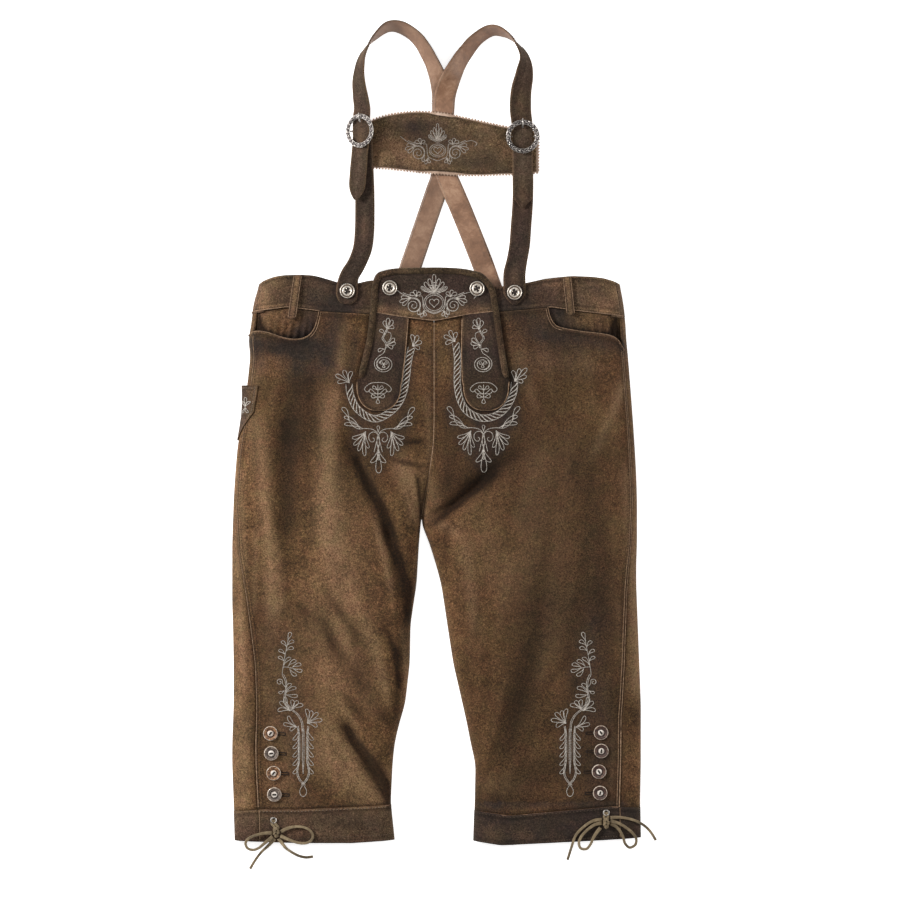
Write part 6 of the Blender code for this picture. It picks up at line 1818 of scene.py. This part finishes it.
def halo(x, y):
    """How near a point is to the stitched lines of the front, from 0 to 1: there the suede is darker and
    greyer, with painted shade beside the threads.
    """
    cell, west, south, count = 3.0, 400, 560, 373
    if not HALO:
        field = np.zeros((count, count))
        for thin, thick in front_work().values():
            for line in thin + thick:
                at = ((evenly(line, 1.5, 3) + (west, south)) / cell).astype(int)
                field[at[:, 1], at[:, 0]] = 1
        kernel = bell(np.arange(-6, 7) * cell, 7.5)
        for axis in (0, 1):
            field = np.apply_along_axis(np.convolve, axis, field, kernel, "same")
        HALO.append(np.clip(field / np.percentile(field[field > 0.5], 70), 0, 1))
    field = HALO[0]
    column, row = np.clip((x + west) / cell, 0, count - 2), np.clip((y + south) / cell, 0, count - 2)
    i, j = row.astype(int), column.astype(int)
    a, b = row - i, column - j
    return (field[i, j] * (1 - a) * (1 - b) + field[i + 1, j] * a * (1 - b) + field[i, j + 1] * (1 - a) * b
            + field[i + 1, j + 1] * a * b)


def flap_shadows():
    """Strokes of shade on the trousers along the flap's edges."""
    rows = []

    def add_strokes(route, half_width, strength):
        rows.extend((*a, *b, half_width, strength) for a, b in zip(route[:-1], route[1:]))

    for side, _ in SIDES:
        y = np.concatenate([np.arange(150, 60, -12.0), [58, 50, 43, 37, 32.5, 29, 27.2]])
        inner = np.stack((tongue_edge(y, pick(side, 2, 3)) - 1.2 * side, y - 0.8), -1)
        outer = np.stack((tongue_edge(y[8:], pick(side, 1, 4)) + 1.2 * side, y[8:] - 0.8), -1)[::-1]
        add_strokes(np.concatenate([inner, outer]), 2.0, 0.8)
        y = np.arange(150, 62, -14.0)
        add_strokes(np.stack((flap_side(y, pick(side, 1, 2)) + 1.6 * side, y), -1), 3.0, 0.75)
    x = np.arange(-34, 39, 9.0)
    add_strokes(np.stack((x, edge_y(FLAP_SEAM, x) - 1), -1), 1.8, 0.8)
    return rows


def make_embroidery():
    bib = bib_motif((-3.0, 168.4), 1.0, 1.0, (13.4, 12.2), 1.0)
    on_bib = bib_motif((1.4, 369.0), 0.94, 0.95, (11.4, 9.0), 0.74)
    works = [("flap", SILK, on_flap, ((bib, APPLIED_LIFT + 0.2, 0.39),))]
    for side, word in SIDES:
        works.append((f"tongue_{word}", SILK, on_flap, ((tongue_motif(side), APPLIED_LIFT + 0.2, 0.39),)))
    for name, (thin, thick) in front_work().items():
        works.append((name, SILK, on_front, ((thin, 0.2, 0.37), (thick, 0.25, 0.66))))
    works.append(("chest_bar", DULL_SILK, on_bar, ((on_bib, 0.2, 0.37),)))
    for name, look, surface, layers in works:
        work = Bundle()
        for lines, lift, radius in layers:
            if lines:
                stitch_motif(work, lines, surface, lift, radius)
        work.make(f"embroidery_{name}", look)
    work = Bundle()
    lines = petals((0.60, 33), ((0.42, 40), (0.60, 45), (0.78, 40)), 0.13)
    for line in lines + petals((0.60, 32), ((0.45, 25), (0.75, 25)), 0.12):
        down = (KNIFE_POCKET_TOP - line[:, 1]) / (KNIFE_POCKET_TOP - KNIFE_POCKET_TIP)
        points, normals = knife_point(down, np.clip(line[:, 0], 0.3, 0.92))
        work.tube(points + normals * 0.3, normals, 0.45, 5)
    work.make("embroidery_knife_pocket", SILK)


# ------------------------------------------------------------------ stage

def placed(name, data, place):
    obj = bpy.data.objects.new(name, data)
    obj.location = place
    bpy.context.scene.collection.objects.link(obj)
    return obj


def make_floor():
    half, below = 6.0, 0.0004
    floor = bpy.data.meshes.new("floor")
    corners = ((-half, -half), (half, -half), (half, half), (-half, half))
    floor.from_pydata([(x, y, -below) for x, y in corners], [], [(0, 1, 2, 3)])
    floor.materials.append(Look("pale_floor").finished(
        {"Base Color": (0.93, 0.93, 0.93), "Roughness": 0.9, "Specular IOR Level": 0.1,
         "Emission Color": (1, 1, 1), "Emission Strength": 0.7}))
    placed("floor", floor, (0, 0, 0))


def make_lights():
    world = bpy.data.worlds.new("studio")
    bpy.context.scene.world = world
    world.use_nodes = True
    background = world.node_tree.nodes["Background"].inputs
    background["Color"].default_value = (1.0, 0.99, 0.98, 1)
    background["Strength"].default_value = 0.30
    for name, place, aim, size, power in (
            ("key", (-3.0, 1.1, 1.8), (0.0, -0.05, 0), 0.9, 165.0),
            ("overhead", (0.2, 0.2, 3.4), (0, 0, 0), 2.4, 26.0),
            ("rim", (2.6, 0.0, 1.1), (0, 0, 0), 0.9, 34.0)):
        lamp = bpy.data.lights.new(name, "AREA")
        lamp.shape, lamp.size, lamp.energy = "DISK", size, power
        lamp.color = (1.0, 0.985, 0.965)
        holder = placed(name, lamp, place)
        holder.rotation_euler = (Vector(aim) - Vector(place)).to_track_quat("-Z", "Y").to_euler()


def make_camera():
    """Straight above, so that the picture's width takes in a little more than the object's height."""
    distance, pictured_width, middle_height = 6.0, 0.900 * 1.31, 0.012
    camera = bpy.data.cameras.new("camera")
    camera.sensor_width = 36
    camera.lens = camera.sensor_width * (distance - middle_height) / pictured_width
    camera.clip_start, camera.clip_end = 0.1, 50
    bpy.context.scene.camera = placed("camera", camera, (0.0177, -0.0236, distance))
    bpy.context.scene.view_settings.view_transform = "Standard"


make_floor()
make_lights()
make_camera()
make_laces()
make_panels()
make_waistband()
make_knee_bands()
make_facings()
make_flap()
make_belt_loops()
make_knife_pocket()
make_chest_bar()
make_strap("brace_left", "strap_left", LEFT_STRAP, True, 0.3, STRAP_SUEDE, darkened=0.3)
make_strap("brace_right", "strap_right", RIGHT_STRAP, False, 1.7, STRAP_SUEDE)
make_strap("brace_front_left", "front_strap_left", LEFT_FRONT_STRAP, True, 2.9, DARK_STRAP,
           ((0, 3, 8, 16), (5, 10, 13.5, 14.8)))
make_strap("brace_front_right", "front_strap_right", RIGHT_FRONT_STRAP, False, 4.1, DARK_STRAP)
make_buckles()
make_buttons()
sew_trousers()
sew_flap()
sew_belt_loops()
sew_knife_pocket()
sew_buttonholes()
make_embroidery()
for bundle, name, look in (
        (STITCH_LIGHT, "stitches_braces", SEWING), (STITCH_TAN, "stitches_tan", SEWING),
        (STITCH_DULL, "stitches_dull", DULL_SEWING), (STITCH_DARK, "stitches_dark", DARK_SEWING),
        (KNEE_LINES, "knee_band_edges", TAN), (CORDING, "seam_edges", PIPING),
        (CENTRE, "centre_seam", PIPING), (EDGING, "flap_edging", PIPING),
        (RIMS, "pocket_rims", BAND_SUEDE), (HOLES, "buttonholes", DARK_SEWING)):
    bundle.make(name, look)
